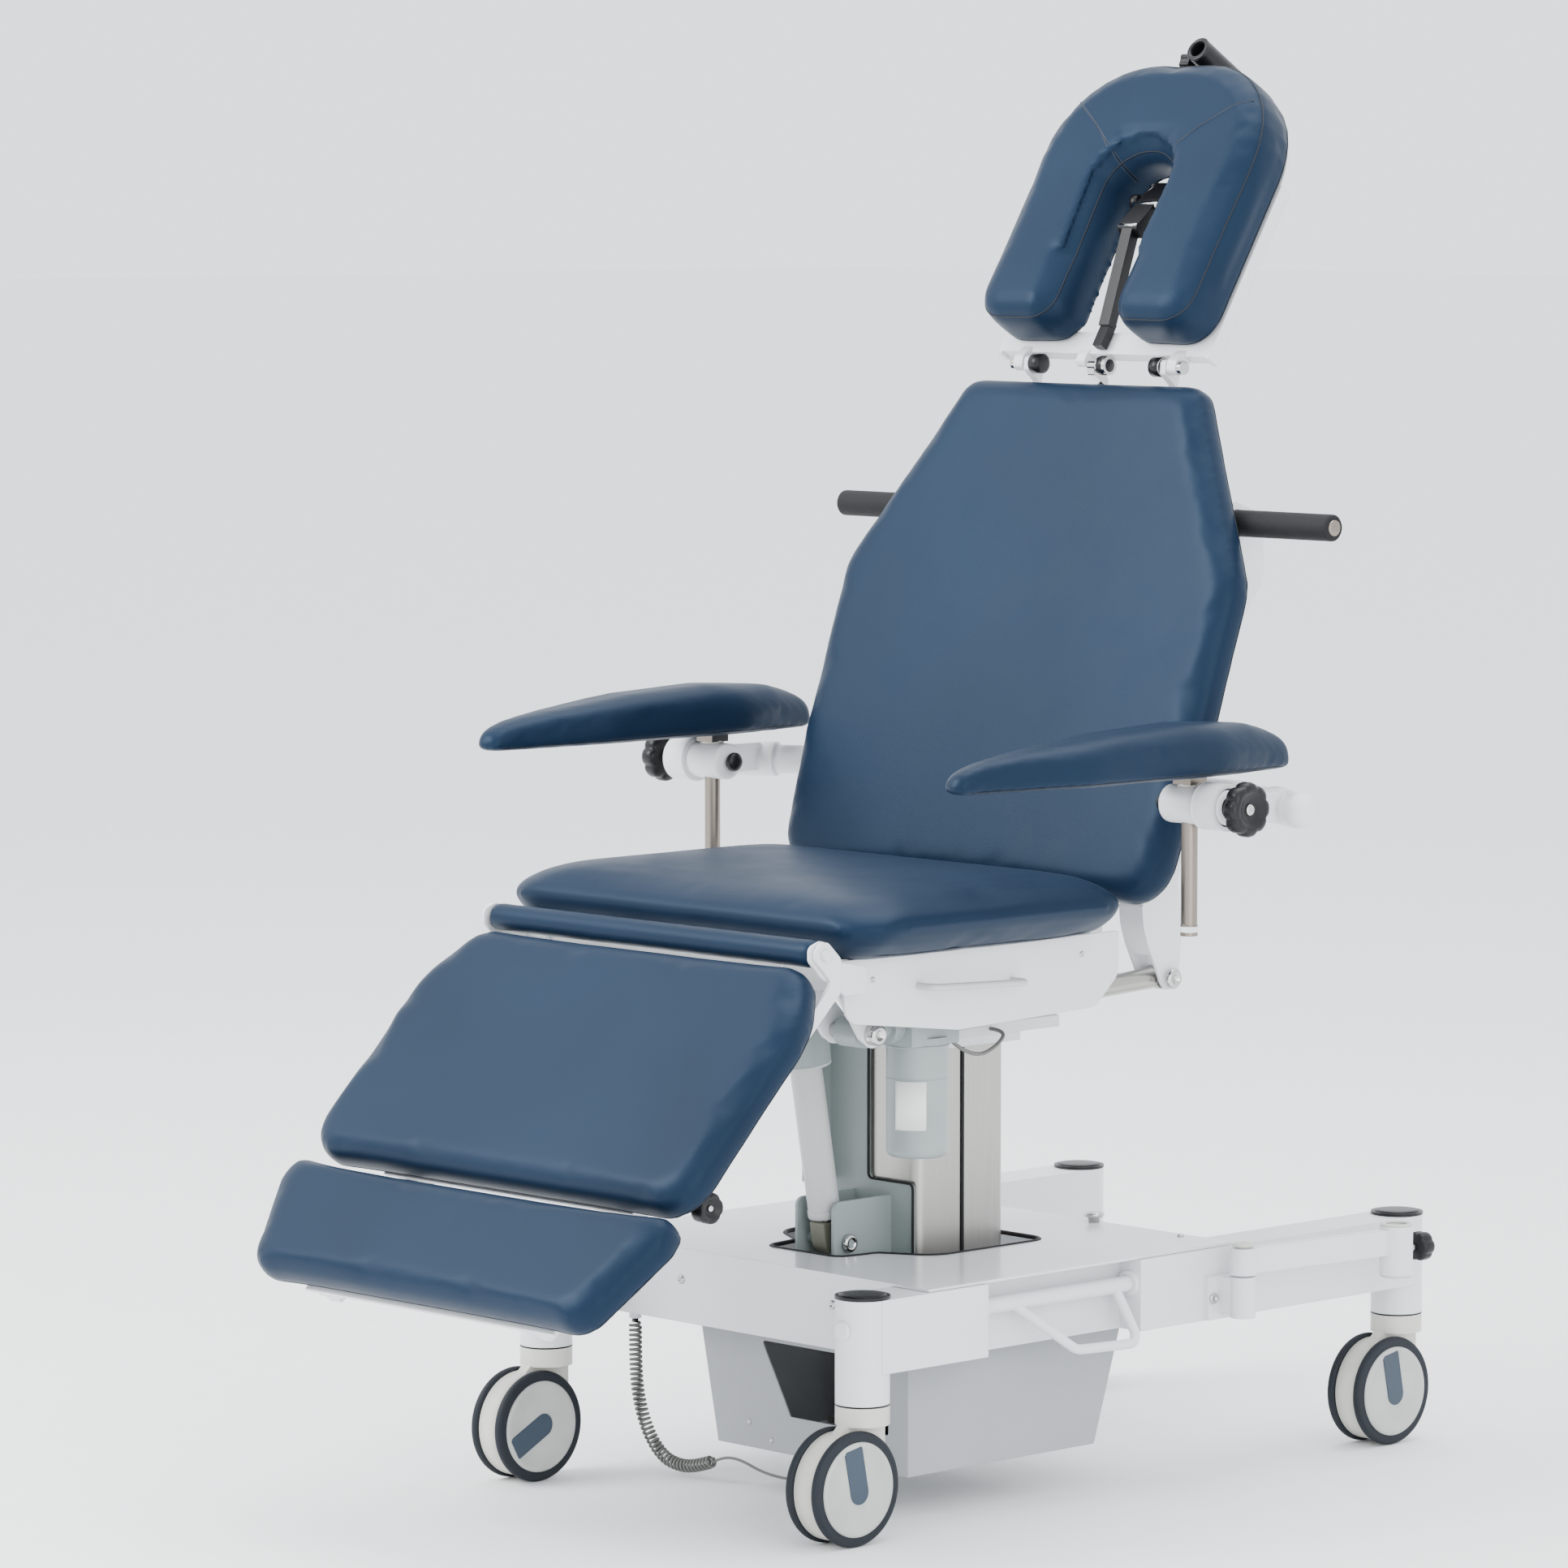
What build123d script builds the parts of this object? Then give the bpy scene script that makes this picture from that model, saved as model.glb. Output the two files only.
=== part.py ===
from build123d import *
import os
from math import atan2, cos, degrees, radians, sin, tan

# Mobile treatment table with five upholstered sections, in millimetres.
# X is across the table, Y runs from the foot end (-) to the head end (+), Z is up.
# Places are worked out from the middle of the wheelbase and moved by Y_SHIFT at the end,
# so that the origin is on the floor, under the centre of the whole table.

# ---- driving dimensions ----
Y_SHIFT = 197.0            # from the middle of the wheelbase to the middle of the whole length
FIT = 0.08                 # radial running clearance of pins and shafts
GAP = 0.3                  # clearance between faces that slide past each other

POST_X = 254.0             # caster posts
POST_Y = 428.5
POST_R = 29.4
POST_BOTTOM = 149.0
POST_TOP = 262.65
BEAM_IN = 224.0            # side beams
BEAM_OUT = 284.0
BEAM_BOTTOM = 183.0
BEAM_TOP = 262.6
WALL = 4.0                 # sheet of the side beams

WHEEL_R = 62.5             # 125 mm twin-wheel casters
WHEEL_TRAIL = 30.0
WHEEL_IN = 8.0
WHEEL_OUT = 25.0

COVER_TOP = 266.0
COVER_T = 3.0
COVER_FRONT = -355.0
COVER_REAR = 122.0

COL_Y = -95.0              # lifting column
COL_X = 70.0
COL_DY = 69.0
COL_BOTTOM = 100.0
COL_TOP = 487.0
HEAD_TOP = 512.0

TILT_Y, TILT_Z = 5.0, 560.0          # seat tilt pivot on the column head
TILT_FOOT = (-235.0, 275.0)           # lower pivot of the tilt actuator (Y, Z)
TILT_EYE = (-283.0, 548.0)            # upper pivot of the tilt actuator

SEAT_FRONT = -469.0
SEAT_REAR = -57.0
SEAT_HALF = 300.0
SEAT_Z = 625.0
SEAT_TOP = 692.0
PANEL_X = 240.0

LEG_Y, LEG_Z = -497.0, 636.0          # leg section hinge, at the middle of the roll
LEG_DROP = 45.7                       # degrees below horizontal
ROLL_R = 15.0
ROLL_HALF = 257.0
LEG_LEVER = 75.0

BACK_Y, BACK_Z = 30.0, 612.0          # back section hinge
BACK_ANGLE = 70.7                     # degrees above horizontal
BACK_TOP = (183.0, 1225.0)            # top of the back's middle plane
BACK_BOLT = (102.0, 557.0)            # lever bolt of the back actuator
EYE_R = 8.0                           # bolts of the actuator pivots
ACT_X = 182.0                         # middle of the back actuator, the leg actuator mirrors it
ACT_FRONT = (-371.0, 536.0)           # front pivot of the back actuator
LEG_ACT_REAR = (-70.0, 563.0)         # rear pivot of the leg actuator

ARM_X = 379.0                         # armrest posts
ARM_Y = -57.0
CLAMP_Z = 775.0
CLAMP_R = 21.0
ARM_POST_R = 9.0

SWING_X, SWING_Y = 318.0, 99.0        # accessory arm pivot
SOCKET_X, SOCKET_Y = 340.0, 330.0
SOCKET_BORE = 12.6

SIDES = (1, -1)

parts = {}


# ---- helpers ----
def block(x0, x1, y0, y1, z0, z1):
    """Box between two corners."""
    centre = ((x0 + x1) / 2, (y0 + y1) / 2, (z0 + z1) / 2)
    return Pos(*centre) * Box(abs(x1 - x0), abs(y1 - y0), abs(z1 - z0))


def bar(start, end, radius):
    """Round bar from start to end."""
    a, b = Vector(*start), Vector(*end)
    frame = Plane(origin=a, z_dir=b - a)
    return extrude(frame * Circle(radius), (b - a).length)


def outline(points, radii):
    """Closed face in the XY plane with rounded corners."""
    flat = [(x, y, 0) for x, y in points]
    return make_face(FilletPolyline(*flat, radius=radii, close=True))


def sheet_yz(points, radii, x0, x1):
    """Prism of a (Y, Z) outline between two X planes."""
    face = Plane.YZ * outline(points, radii)
    return Pos(x0, 0, 0) * extrude(face, x1 - x0)


def sheet_xz(points, radii, y0, y1):
    """Prism of an (X, Z) outline between two Y planes."""
    face = Plane.XZ * outline(points, radii)
    return Pos(0, y1, 0) * extrude(face, y1 - y0)


def slab(frame, points, radii, d0, d1):
    """Prism of an outline drawn in frame, from depth d0 to d1 along its normal."""
    return frame.location * (Pos(0, 0, d0) * extrude(outline(points, radii), d1 - d0))


def wire(points, radii, radius):
    """Round rod along straight runs joined by arcs."""
    path = FilletPolyline(*points, radius=radii)
    return sweep(Plane(origin=path @ 0, z_dir=path % 0) * Circle(radius), path=path)


def star_knob(start, end, radius, lobes=6):
    """Lobed hand knob between two points of its axis."""
    a, b = Vector(*start), Vector(*end)
    frame = Plane(origin=a, z_dir=b - a)
    face = Circle(radius * 0.82)
    for i in range(lobes):
        face += PolarLocations(radius * 0.7, 1, start_angle=i * 360 / lobes) * Circle(radius * 0.3)
    return extrude(frame * face, (b - a).length)


def both(make):
    """One shape for each side of the table."""
    return Compound([make(side) for side in SIDES])


def mirrored(shape, side):
    """Shape modelled at +X, moved to the given side."""
    return shape if side > 0 else mirror(shape, about=Plane.YZ)


def save(name, shape):
    parts[name] = shape


def full_radii(path_points):
    """Arc radii of a cord's route, as large as its runs allow."""
    vectors = [Vector(*p) for p in path_points]
    radii = []
    for before, point, after in zip(vectors, vectors[1:], vectors[2:]):
        first, second = point - before, after - point
        half_turn = radians(first.get_angle(second) / 2)
        radii.append(0.45 * min(first.length, second.length) / tan(half_turn))
    return radii


def cord(name, points, radius):
    radii = full_radii(points)
    solid = wire(points, radii, radius)
    length = FilletPolyline(*points, radius=radii).length
    expected = 3.14159265 * radius ** 2 * length
    print(name, "radii", [round(r) for r in radii], "length", round(length),
          "volume ratio", round(solid.volume / expected, 4))
    return solid


# Back section frame: x across, y up the back, z towards the sitter.
back_frame_plane = Plane(
    origin=(0, *BACK_TOP), x_dir=(1, 0, 0),
    z_dir=(0, -sin(radians(BACK_ANGLE)), cos(radians(BACK_ANGLE))))
# Leg section frame: x across, y up the leg towards the roll, z out of the upholstery.
leg_plane = Plane(
    origin=(0, LEG_Y, LEG_Z), x_dir=(1, 0, 0),
    z_dir=(0, -sin(radians(LEG_DROP)), cos(radians(LEG_DROP))))


# ---- base ----
def side_beam(side):
    """Channel beam between two caster posts, open below, with a recess for the brake bar."""
    recess_front, recess_rear, recess_x = -268.0, -30.0, 252.0
    beam = block(BEAM_IN, BEAM_OUT, -POST_Y, POST_Y, BEAM_BOTTOM, BEAM_TOP)
    beam -= block(recess_x, BEAM_OUT + 1, recess_front, recess_rear, BEAM_BOTTOM - 1, BEAM_TOP + 1)
    top = BEAM_TOP - WALL
    end = POST_Y - POST_R - WALL
    beam -= block(BEAM_IN + WALL, BEAM_OUT - WALL, -end, recess_front - WALL, BEAM_BOTTOM - 1, top)
    beam -= block(BEAM_IN + WALL, recess_x - WALL, recess_front - WALL, recess_rear + WALL,
                  BEAM_BOTTOM - 1, top)
    beam -= block(BEAM_IN + WALL, BEAM_OUT - WALL, recess_rear + WALL, end, BEAM_BOTTOM - 1, top)
    for y in (-POST_Y, POST_Y):
        beam -= bar((POST_X, y, 0), (POST_X, y, 300), POST_R + 0.05)
    for y0, y1 in ((recess_front, recess_front + 6), (recess_rear - 6, recess_rear)):
        ring = bar((PEDAL_X, y0, PEDAL_Z), (PEDAL_X, y1, PEDAL_Z), 14)
        beam += ring
        beam -= bar((PEDAL_X, y0, PEDAL_Z), (PEDAL_X, y1, PEDAL_Z), PEDAL_R + FIT)
    if side > 0:
        beam += accessory_bracket()
    else:
        beam += cord_gland()
    return mirrored(beam, side)


def accessory_bracket():
    """Flange and pivot post of the swinging accessory arm."""
    flange = block(BEAM_OUT - 1, BEAM_OUT + 7, 72, 126, 184, 232)
    arm = block(BEAM_OUT, SWING_X, 88, 110, 192, 232)
    boss = bar((SWING_X, SWING_Y, 188), (SWING_X, SWING_Y, 234), 14)
    pin = bar((SWING_X, SWING_Y, 234), (SWING_X, SWING_Y, 270), 7)
    return flange + arm + boss + pin


def cord_gland():
    """Tab and gland under the beam where the curly cord starts (modelled at +X)."""
    tab = block(CORD_X - 10, BEAM_IN + 2, CORD_Y - 10, CORD_Y + 10, BEAM_BOTTOM, BEAM_BOTTOM + 3)
    return tab + bar((CORD_X, CORD_Y, CORD_TOP), (CORD_X, CORD_Y, BEAM_BOTTOM), 7)


def chassis_frame():
    """Two cross members and two rails that carry the column and the lower box."""
    half = BEAM_IN - 0.2
    frame = block(-half, half, -350, -338, 200, BEAM_TOP)
    frame += block(-half, half, 86, 98, 200, BEAM_TOP)
    for side in SIDES:
        frame += block(side * 132, side * 144, -338, 86, 200, BEAM_TOP)
    return frame


def post(x, y):
    body = bar((x, y, POST_BOTTOM), (x, y, POST_TOP), POST_R)
    return body - bar((x, y, POST_BOTTOM), (x, y, 201), 14 + FIT)


def post_cap(x, y):
    cap = bar((x, y, POST_TOP), (x, y, COVER_TOP), POST_R + 0.6)
    return cap


def cover_hole():
    """Opening in the cover round the column, with a lobe for the tilt actuator."""
    points = [(125, -12), (125, -190), (66, -222), (58, -276),
              (-58, -276), (-66, -222), (-125, -190), (-125, -12)]
    return outline(points, [24, 40, 12, 18, 18, 12, 40, 24])


def base_cover():
    """Folded cover sheet over the chassis, with a front skirt."""
    top = block(-280, 280, COVER_FRONT, COVER_REAR, COVER_TOP - COVER_T, COVER_TOP)
    skirt = block(-(BEAM_IN - GAP), BEAM_IN - GAP, COVER_FRONT, COVER_FRONT + COVER_T,
                  BEAM_BOTTOM, COVER_TOP - COVER_T)
    hole = Pos(0, 0, COVER_TOP - 10) * extrude(cover_hole(), 20)
    return top + skirt - hole


def box_section(z, grow):
    """Horizontal section of the lower box at height z, grown by a wall thickness."""
    rise = (z - 50.0) / 150.0
    x0 = -80 - 32 * rise - grow
    x1 = 220 + grow
    y0 = -327 - grow
    y1 = -37 + 48 * rise + grow
    return Pos((x0 + x1) / 2, (y0 + y1) / 2, z) * Rectangle(x1 - x0, y1 - y0)


def lower_box():
    """Sheet-metal trough under the chassis, with a service opening in front."""
    shell = loft([box_section(50, 0), box_section(199.8, 0)])
    shell -= loft([box_section(52, -2), box_section(199.9, -2)])
    opening = sheet_xz([(-10, 172), (36, 92), (190, 92), (190, 172)], [3, 3, 3, 3], -340, -315)
    shell -= opening
    shell += bar((LEAD_END_X, LEAD_END_Y, 46), (LEAD_END_X, LEAD_END_Y, 51), 6)
    return shell


def control_unit():
    """Battery and control box inside the trough, with ribs on its front."""
    unit = block(96, 212, -300, -70, 52.2, 168)
    for i in range(5):
        unit += block(104 + 22 * i, 112 + 22 * i, -306, -300, 64, 156)
    return unit


def rounded_tube(half_x, half_y, wall, corner, z0, z1):
    """Rectangular tube of the column."""
    height = z1 - z0
    outer = extrude(Pos(0, COL_Y, z0) * RectangleRounded(2 * half_x, 2 * half_y, corner), height)
    inner = RectangleRounded(2 * (half_x - wall), 2 * (half_y - wall), max(corner - wall, 1))
    return outer - extrude(Pos(0, COL_Y, z0) * inner, height)


def glides(half_x, half_y, reach, z0, z1):
    """Four glide pads on the outside of a stage."""
    pads = block(half_x - 1, half_x + reach, COL_Y - 20, COL_Y + 20, z0, z1)
    pads += block(-half_x - reach, -half_x + 1, COL_Y - 20, COL_Y + 20, z0, z1)
    pads += block(-20, 20, COL_Y + half_y - 1, COL_Y + half_y + reach, z0, z1)
    pads += block(-20, 20, COL_Y - half_y - reach, COL_Y - half_y + 1, z0, z1)
    return pads


def column_inner():
    """Fixed stage, standing on the bottom of the lower box."""
    tube = rounded_tube(50, 49, 5, 8, 54, 484)
    foot = block(-72, 72, COL_Y - 71, COL_Y + 54, 52.1, 58)
    return tube + foot + glides(50, 49, 4.7, 424, 482)


def column_middle():
    return rounded_tube(60, 59, 5, 10, 62, 478) + glides(60, 59, 3.7, 416, 476)


def lift_motor():
    """Motor and lifting spindle inside the fixed stage."""
    motor = block(-36, 36, COL_Y - 34, COL_Y + 34, 58.2, 128)
    return motor + bar((0, COL_Y, 128), (0, COL_Y, 478), 12)


# ---- casters and brakes ----
PEDAL_X, PEDAL_Z, PEDAL_R = 268.0, 235.0, 9.0


def caster_housing(x, y):
    """Swivelling stem, collar and web between the two wheels."""
    axle_y = y - WHEEL_TRAIL
    collar = bar((x, y, 127), (x, y, POST_BOTTOM - GAP), POST_R)
    stem = bar((x, y, 140), (x, y, 196), 14)
    web = sheet_yz([(y + 27, 130), (y - 28, 130), (axle_y - 34, 96), (axle_y - 30, 52),
                    (axle_y, 38), (axle_y + 26, 48), (y + 27, 96)],
                   [2, 6, 14, 14, 16, 16, 12], x - WHEEL_IN + 1, x + WHEEL_IN - 1)
    hole = bar((x - 10, axle_y, WHEEL_R), (x + 10, axle_y, WHEEL_R), 6 + FIT)
    return collar + stem + web - hole


def caster_wheel(x, y):
    """Twin wheels on their axle."""
    axle_y = y - WHEEL_TRAIL
    pair = bar((x - 16, axle_y, WHEEL_R), (x + 16, axle_y, WHEEL_R), 6)
    for side in SIDES:
        disc = bar((x + side * WHEEL_IN, axle_y, WHEEL_R), (x + side * WHEEL_OUT, axle_y, WHEEL_R), WHEEL_R)
        pair += fillet(disc.edges().filter_by(GeomType.CIRCLE), 3.5)
    return pair


def brake_pedal(side):
    """Brake bar along the beam with a foot loop that leans outwards."""
    rod = bar((PEDAL_X, -267.6, PEDAL_Z), (PEDAL_X, -30.4, PEDAL_Z), PEDAL_R)
    loop = wire([(PEDAL_X, -218, PEDAL_Z), (PEDAL_X + 30, -146, 178),
                 (PEDAL_X + 30, -46, 174), (PEDAL_X, -56, PEDAL_Z)], [22, 14], 5.5)
    return mirrored(rod + loop, side)


def swing_arm():
    """Accessory arm with a pole socket at its end."""
    eye = bar((SWING_X, SWING_Y, 236), (SWING_X, SWING_Y, 266), 15)
    reach = Vector(SOCKET_X - SWING_X, SOCKET_Y - SWING_Y, 0)
    turn = degrees(atan2(reach.Y, reach.X))
    beam = Box(reach.length - 10, 12, 29, align=(Align.MIN, Align.CENTER, Align.MIN))
    beam = Pos(SWING_X, SWING_Y, 236.5) * Rot(0, 0, turn) * beam
    socket = bar((SOCKET_X, SOCKET_Y, 213), (SOCKET_X, SOCKET_Y, 269), 19)
    arm = eye + beam + socket
    arm -= bar((SOCKET_X, SOCKET_Y, 212), (SOCKET_X, SOCKET_Y, 270), SOCKET_BORE)
    arm -= bar((SWING_X, SWING_Y, 235), (SWING_X, SWING_Y, 267), 7 + FIT)
    arm -= bar((SOCKET_X, SOCKET_Y, 241), (SOCKET_X, SOCKET_Y + 30, 241), 4 + FIT)
    return arm


def arm_knob():
    """Clamping knob of the pole socket."""
    stud = bar((SOCKET_X, SOCKET_Y + 14, 241), (SOCKET_X, SOCKET_Y + 34, 241), 4)
    return stud + star_knob((SOCKET_X, SOCKET_Y + 32, 241), (SOCKET_X, SOCKET_Y + 50, 241), 17)


# ---- moving column ----
def column_outer():
    """Outer stage, with a slot groove down each side."""
    tube = rounded_tube(COL_X, COL_DY, 6, 12, COL_BOTTOM, COL_TOP)
    for side in SIDES:
        tube -= block(side * (COL_X - 2.5), side * (COL_X + 1), COL_Y - 3, COL_Y + 3,
                      COL_BOTTOM - 1, COL_TOP + 1)
    return tube


def column_bracket():
    """Sheet bracket on the column's front, with the lugs of the tilt actuator."""
    front = COL_Y - COL_DY
    plate = sheet_xz([(-66, 485), (-5, 485), (-5, 338), (66, 338), (66, 248), (-66, 248)],
                     [4, 4, 8, 8, 8, 4], front - 3.5, front - GAP)
    flange = block(-70, -66, front - 44, front - GAP, 330, 485)
    bracket = plate + flange
    for side in SIDES:
        x0, x1 = (27, 31) if side > 0 else (-31, -27)
        lug = sheet_yz([(front - 2, 250), (front - 2, 322), (-256, 322), (-256, 250)],
                       [0, 0, 10, 10], x0, x1)
        bracket += lug
    bracket += bar((-35, *TILT_FOOT), (35, *TILT_FOOT), 6)
    for side in SIDES:
        bracket += bar((side * 30.5, *TILT_FOOT), (side * 37, *TILT_FOOT), 10)
    return bracket


def column_head():
    """Stepped head plates with the two lugs of the tilt pivot."""
    front = COL_Y - COL_DY
    head = block(-82, 82, front - 16, -15, COL_TOP + 0.1, 499)
    head += block(-95, 95, front - 20, 34, 499, HEAD_TOP)
    for side in SIDES:
        x0, x1 = (80, 92) if side > 0 else (-92, -80)
        head += sheet_yz([(-14, HEAD_TOP - 1), (34, HEAD_TOP - 1), (TILT_Y + 15, TILT_Z + 15),
                          (TILT_Y - 15, TILT_Z + 15)], [0, 0, 12, 12], x0, x1)
        head -= bar((x0 - 1, TILT_Y, TILT_Z), (x1 + 1, TILT_Y, TILT_Z), 8 + FIT)
    return head


def along(start, end, distance):
    """Point at a distance from start towards end, in the YZ plane."""
    a, b = Vector(0, *start), Vector(0, *end)
    point = a + (b - a).normalized() * distance
    return point.Y, point.Z


def tilt_rod():
    """Lower eye and rod of the tilt actuator."""
    eye = bar((-11, *TILT_FOOT), (11, *TILT_FOOT), 14)
    rod = bar((0, *TILT_FOOT), (0, *along(TILT_FOOT, TILT_EYE, 150)), 9)
    return eye + rod - bar((-12, *TILT_FOOT), (12, *TILT_FOOT), 6 + FIT)


def tilt_tube():
    """Upper tube of the tilt actuator, with the head that sits in the clevis."""
    low, high = along(TILT_FOOT, TILT_EYE, 27), along(TILT_FOOT, TILT_EYE, 204)
    top = along(TILT_FOOT, TILT_EYE, 270)
    tube = bar((0, *low), (0, *high), 18)
    tube += bar((0, *along(TILT_FOOT, TILT_EYE, 202)), (0, *top), 29)
    tube += bar((-16, *TILT_EYE), (16, *TILT_EYE), 15)
    return tube - bar((0, *along(TILT_FOOT, TILT_EYE, 26)), (0, *along(TILT_FOOT, TILT_EYE, 160)), 9 + FIT)


# ---- seat ----
def seat_frame():
    """Board, rails and crossbars, with the pivots of every section."""
    frame = block(-236, 236, -452, -62, 620, SEAT_Z - GAP)
    for side in SIDES:
        frame += block(side * 100, side * 108, -440, -62, 590, 621)
        frame += block(side * 100, side * 108, -110, 20, 570, 600)
        frame += bar((side * 100, BACK_Y, BACK_Z), (side * 118, BACK_Y, BACK_Z), 16)
        frame += bar((side * 118, BACK_Y, BACK_Z), (side * 154, BACK_Y, BACK_Z), 8)
        frame += block(side * 100, side * 108, -9, 19, TILT_Z, 574)
        frame += bar((side * 100, TILT_Y, TILT_Z), (side * 108, TILT_Y, TILT_Z), 14)
        frame += bar((side * 78, TILT_Y, TILT_Z), (side * 100, TILT_Y, TILT_Z), 8)
        frame += roll_bracket(side)
    for y in (-446, -310, -66):
        frame += block(-236, 236, y, y + 6, 590, 621)
        frame += block(-236, 236, y, y + 20, 590, 594)
    frame += block(-60, 60, -310, -255, 590, 594)
    for x0, x1 in ((146, 151), (204, 209)):
        frame += sheet_yz([(-450, 613), (-422, 585), (-388, 532), (-371, 520), (-352, 526), (-352, 548),
                           (-392, 590), (-420, 613)], [0, 10, 8, 8, 10, 10, 20, 0], x0, x1)
    frame += tilt_clevis()
    for x0, x1 in ((-209, -204), (-151, -146)):
        frame += sheet_yz([(-100, 613), (-90, 546), (-50, 546), (-47, 613)], [0, 14, 14, 0], x0, x1)
    frame -= bar((140, *ACT_FRONT), (212, *ACT_FRONT), EYE_R + 0.05)
    frame -= bar((-212, *LEG_ACT_REAR), (-140, *LEG_ACT_REAR), EYE_R + 0.05)
    return frame


def tilt_clevis():
    """Two shaped plates that take the upper eye of the tilt actuator."""
    clevis = None
    for x0, x1 in ((33, 37), (-37, -33)):
        plate = sheet_yz([(-306, 592), (-304, 536), (-283, 528), (-262, 536), (-258, 592)],
                         [0, 12, 12, 12, 0], x0, x1)
        clevis = plate if clevis is None else clevis + plate
    for side in SIDES:
        clevis += bar((side * 36, *TILT_EYE), (side * 42, *TILT_EYE), 8)
    return clevis


def roll_bracket(side):
    """End plate that carries the roll and the hinge stub of the leg section."""
    plate = sheet_yz([(-430, 618), (-478, 628), (-494, 652), (-514, 645), (-514, 630), (-498, 612),
                      (-462, 590), (-430, 590)], [2, 10, 8, 8, 8, 12, 6, 4], 258, 262)
    web = block(225, 259, -452, -446.3, 592, 620)
    stub = bar((255, LEG_Y, LEG_Z), (272, LEG_Y, LEG_Z), 6)
    core = bar((0, LEG_Y, LEG_Z), (258, LEG_Y, LEG_Z), 6)
    return mirrored(plate + web + stub + core, side)


def side_panel(side):
    """Skirt panel of the seat with rounded lower corners."""
    points = [(-446, 623.5), (-440, 556), (-270, 535), (-58, 542), (-22, 575), (-22, 623.5)]
    return mirrored(sheet_yz(points, [2, 22, 60, 24, 20, 2], PANEL_X - 3, PANEL_X), side)


def side_handle(side):
    """Wire handle on the panel."""
    loop = wire([(PANEL_X + 0.2, -332, 588), (PANEL_X + 24, -332, 588),
                 (PANEL_X + 24, -189, 582), (PANEL_X + 0.2, -189, 582)], [9, 9], 4)
    return mirrored(loop, side)


def leg_roll():
    """Small upholstered roll in front of the seat, round its core."""
    roll = bar((-ROLL_HALF, LEG_Y, LEG_Z), (ROLL_HALF, LEG_Y, LEG_Z), ROLL_R)
    return roll - bar((-ROLL_HALF, LEG_Y, LEG_Z), (ROLL_HALF, LEG_Y, LEG_Z), 6.05)


def seat_cushion():
    """Crowned cushion with tapered underside and a rear face parallel to the back."""
    profile = [(-243, SEAT_Z), (243, SEAT_Z), (SEAT_HALF, 664), (292, 684), (190, SEAT_TOP),
               (-190, SEAT_TOP), (-292, 684), (-SEAT_HALF, 664)]
    bulk = sheet_xz(profile, [4, 4, 14, 10, 60, 60, 10, 14], SEAT_FRONT, SEAT_REAR)
    plan = outline([(SEAT_HALF, SEAT_REAR), (SEAT_HALF, SEAT_FRONT),
                    (-SEAT_HALF, SEAT_FRONT), (-SEAT_HALF, SEAT_REAR)], [30, 55, 55, 30])
    bulk = bulk & (Pos(0, 0, SEAT_Z - 1) * extrude(plan, 80))
    nose = sheet_yz([(-480, 700), (-480, 672), (SEAT_FRONT, 672), (-448, 688), (-400, SEAT_TOP + 0.5),
                     (-400, 700)], [0, 0, 4, 8, 0, 0], -310, 310)
    under = sheet_yz([(-480, 620), (-480, 652), (SEAT_FRONT, 652), (-452, SEAT_Z), (-452, 620)],
                     [0, 0, 2, 2, 0], -310, 310)
    return bulk - nose - under


def pivot_bolts():
    """Chrome bolts of the seat's actuator pivots."""
    bolts = []
    for side, place in ((1, ACT_FRONT), (-1, LEG_ACT_REAR)):
        bolt = bar((side * 142, *place), (side * 214, *place), EYE_R)
        bolt += bar((side * 140, *place), (side * 145.9, *place), 12)
        bolt += bar((side * 209.1, *place), (side * 217, *place), 12)
        bolts.append(bolt)
    return Compound(bolts)


def leg_actuator_tube():
    """Tube and motor of the leg actuator, hung between its rear lugs."""
    y, z = LEG_ACT_REAR
    tube = bar((-ACT_X, y - 38, z), (-ACT_X, -345, z), 17)
    tube += bar((-ACT_X, y, z), (-ACT_X, y - 44, z), 12)
    tube += bar((-ACT_X, -150, 560), (-ACT_X, -150, 470), 27)
    tube += bar((-ACT_X - 14, y, z), (-ACT_X + 14, y, z), 15)
    tube -= bar((-ACT_X - 15, y, z), (-ACT_X + 15, y, z), EYE_R + 0.05)
    return tube - bar((-ACT_X, -190, z), (-ACT_X, -346, z), 9 + FIT)


def leg_lever_point():
    """Lever pivot of the leg section at rest; the lever hangs straight down in mid travel."""
    angle = radians(270 + 12.85)
    return LEG_Y + LEG_LEVER * cos(angle), LEG_Z + LEG_LEVER * sin(angle)


def leg_actuator_rod():
    y, z = leg_lever_point()
    rod = bar((-ACT_X, -252, 563), (-ACT_X, y + 8, 563), 9)
    return rod + bar((-ACT_X - 7, y, z), (-ACT_X + 7, y, z), 11)


# ---- back actuator ----
def back_actuator_tube():
    """Tube, gear case, motor can and front eye of the back actuator."""
    def at(distance):
        return (ACT_X, *along(ACT_FRONT, BACK_BOLT, distance))
    body = bar(at(44), at(326), 19)
    body += bar(at(0), at(50), 13)
    body += bar((ACT_X - 17, *ACT_FRONT), (ACT_X + 17, *ACT_FRONT), 16)
    body -= bar((ACT_X - 18, *ACT_FRONT), (ACT_X + 18, *ACT_FRONT), EYE_R + FIT)
    can = bar((ACT_X - 2, -274, 392), (ACT_X - 2, -274, 524), 34)
    body += fillet(can.edges().filter_by(GeomType.CIRCLE).sort_by(Axis.Z)[:1], 8)
    body += block(ACT_X - 30, ACT_X + 28, -312, -240, 516, 566)
    return body - bar(at(60), at(330), 12 + FIT)


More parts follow.
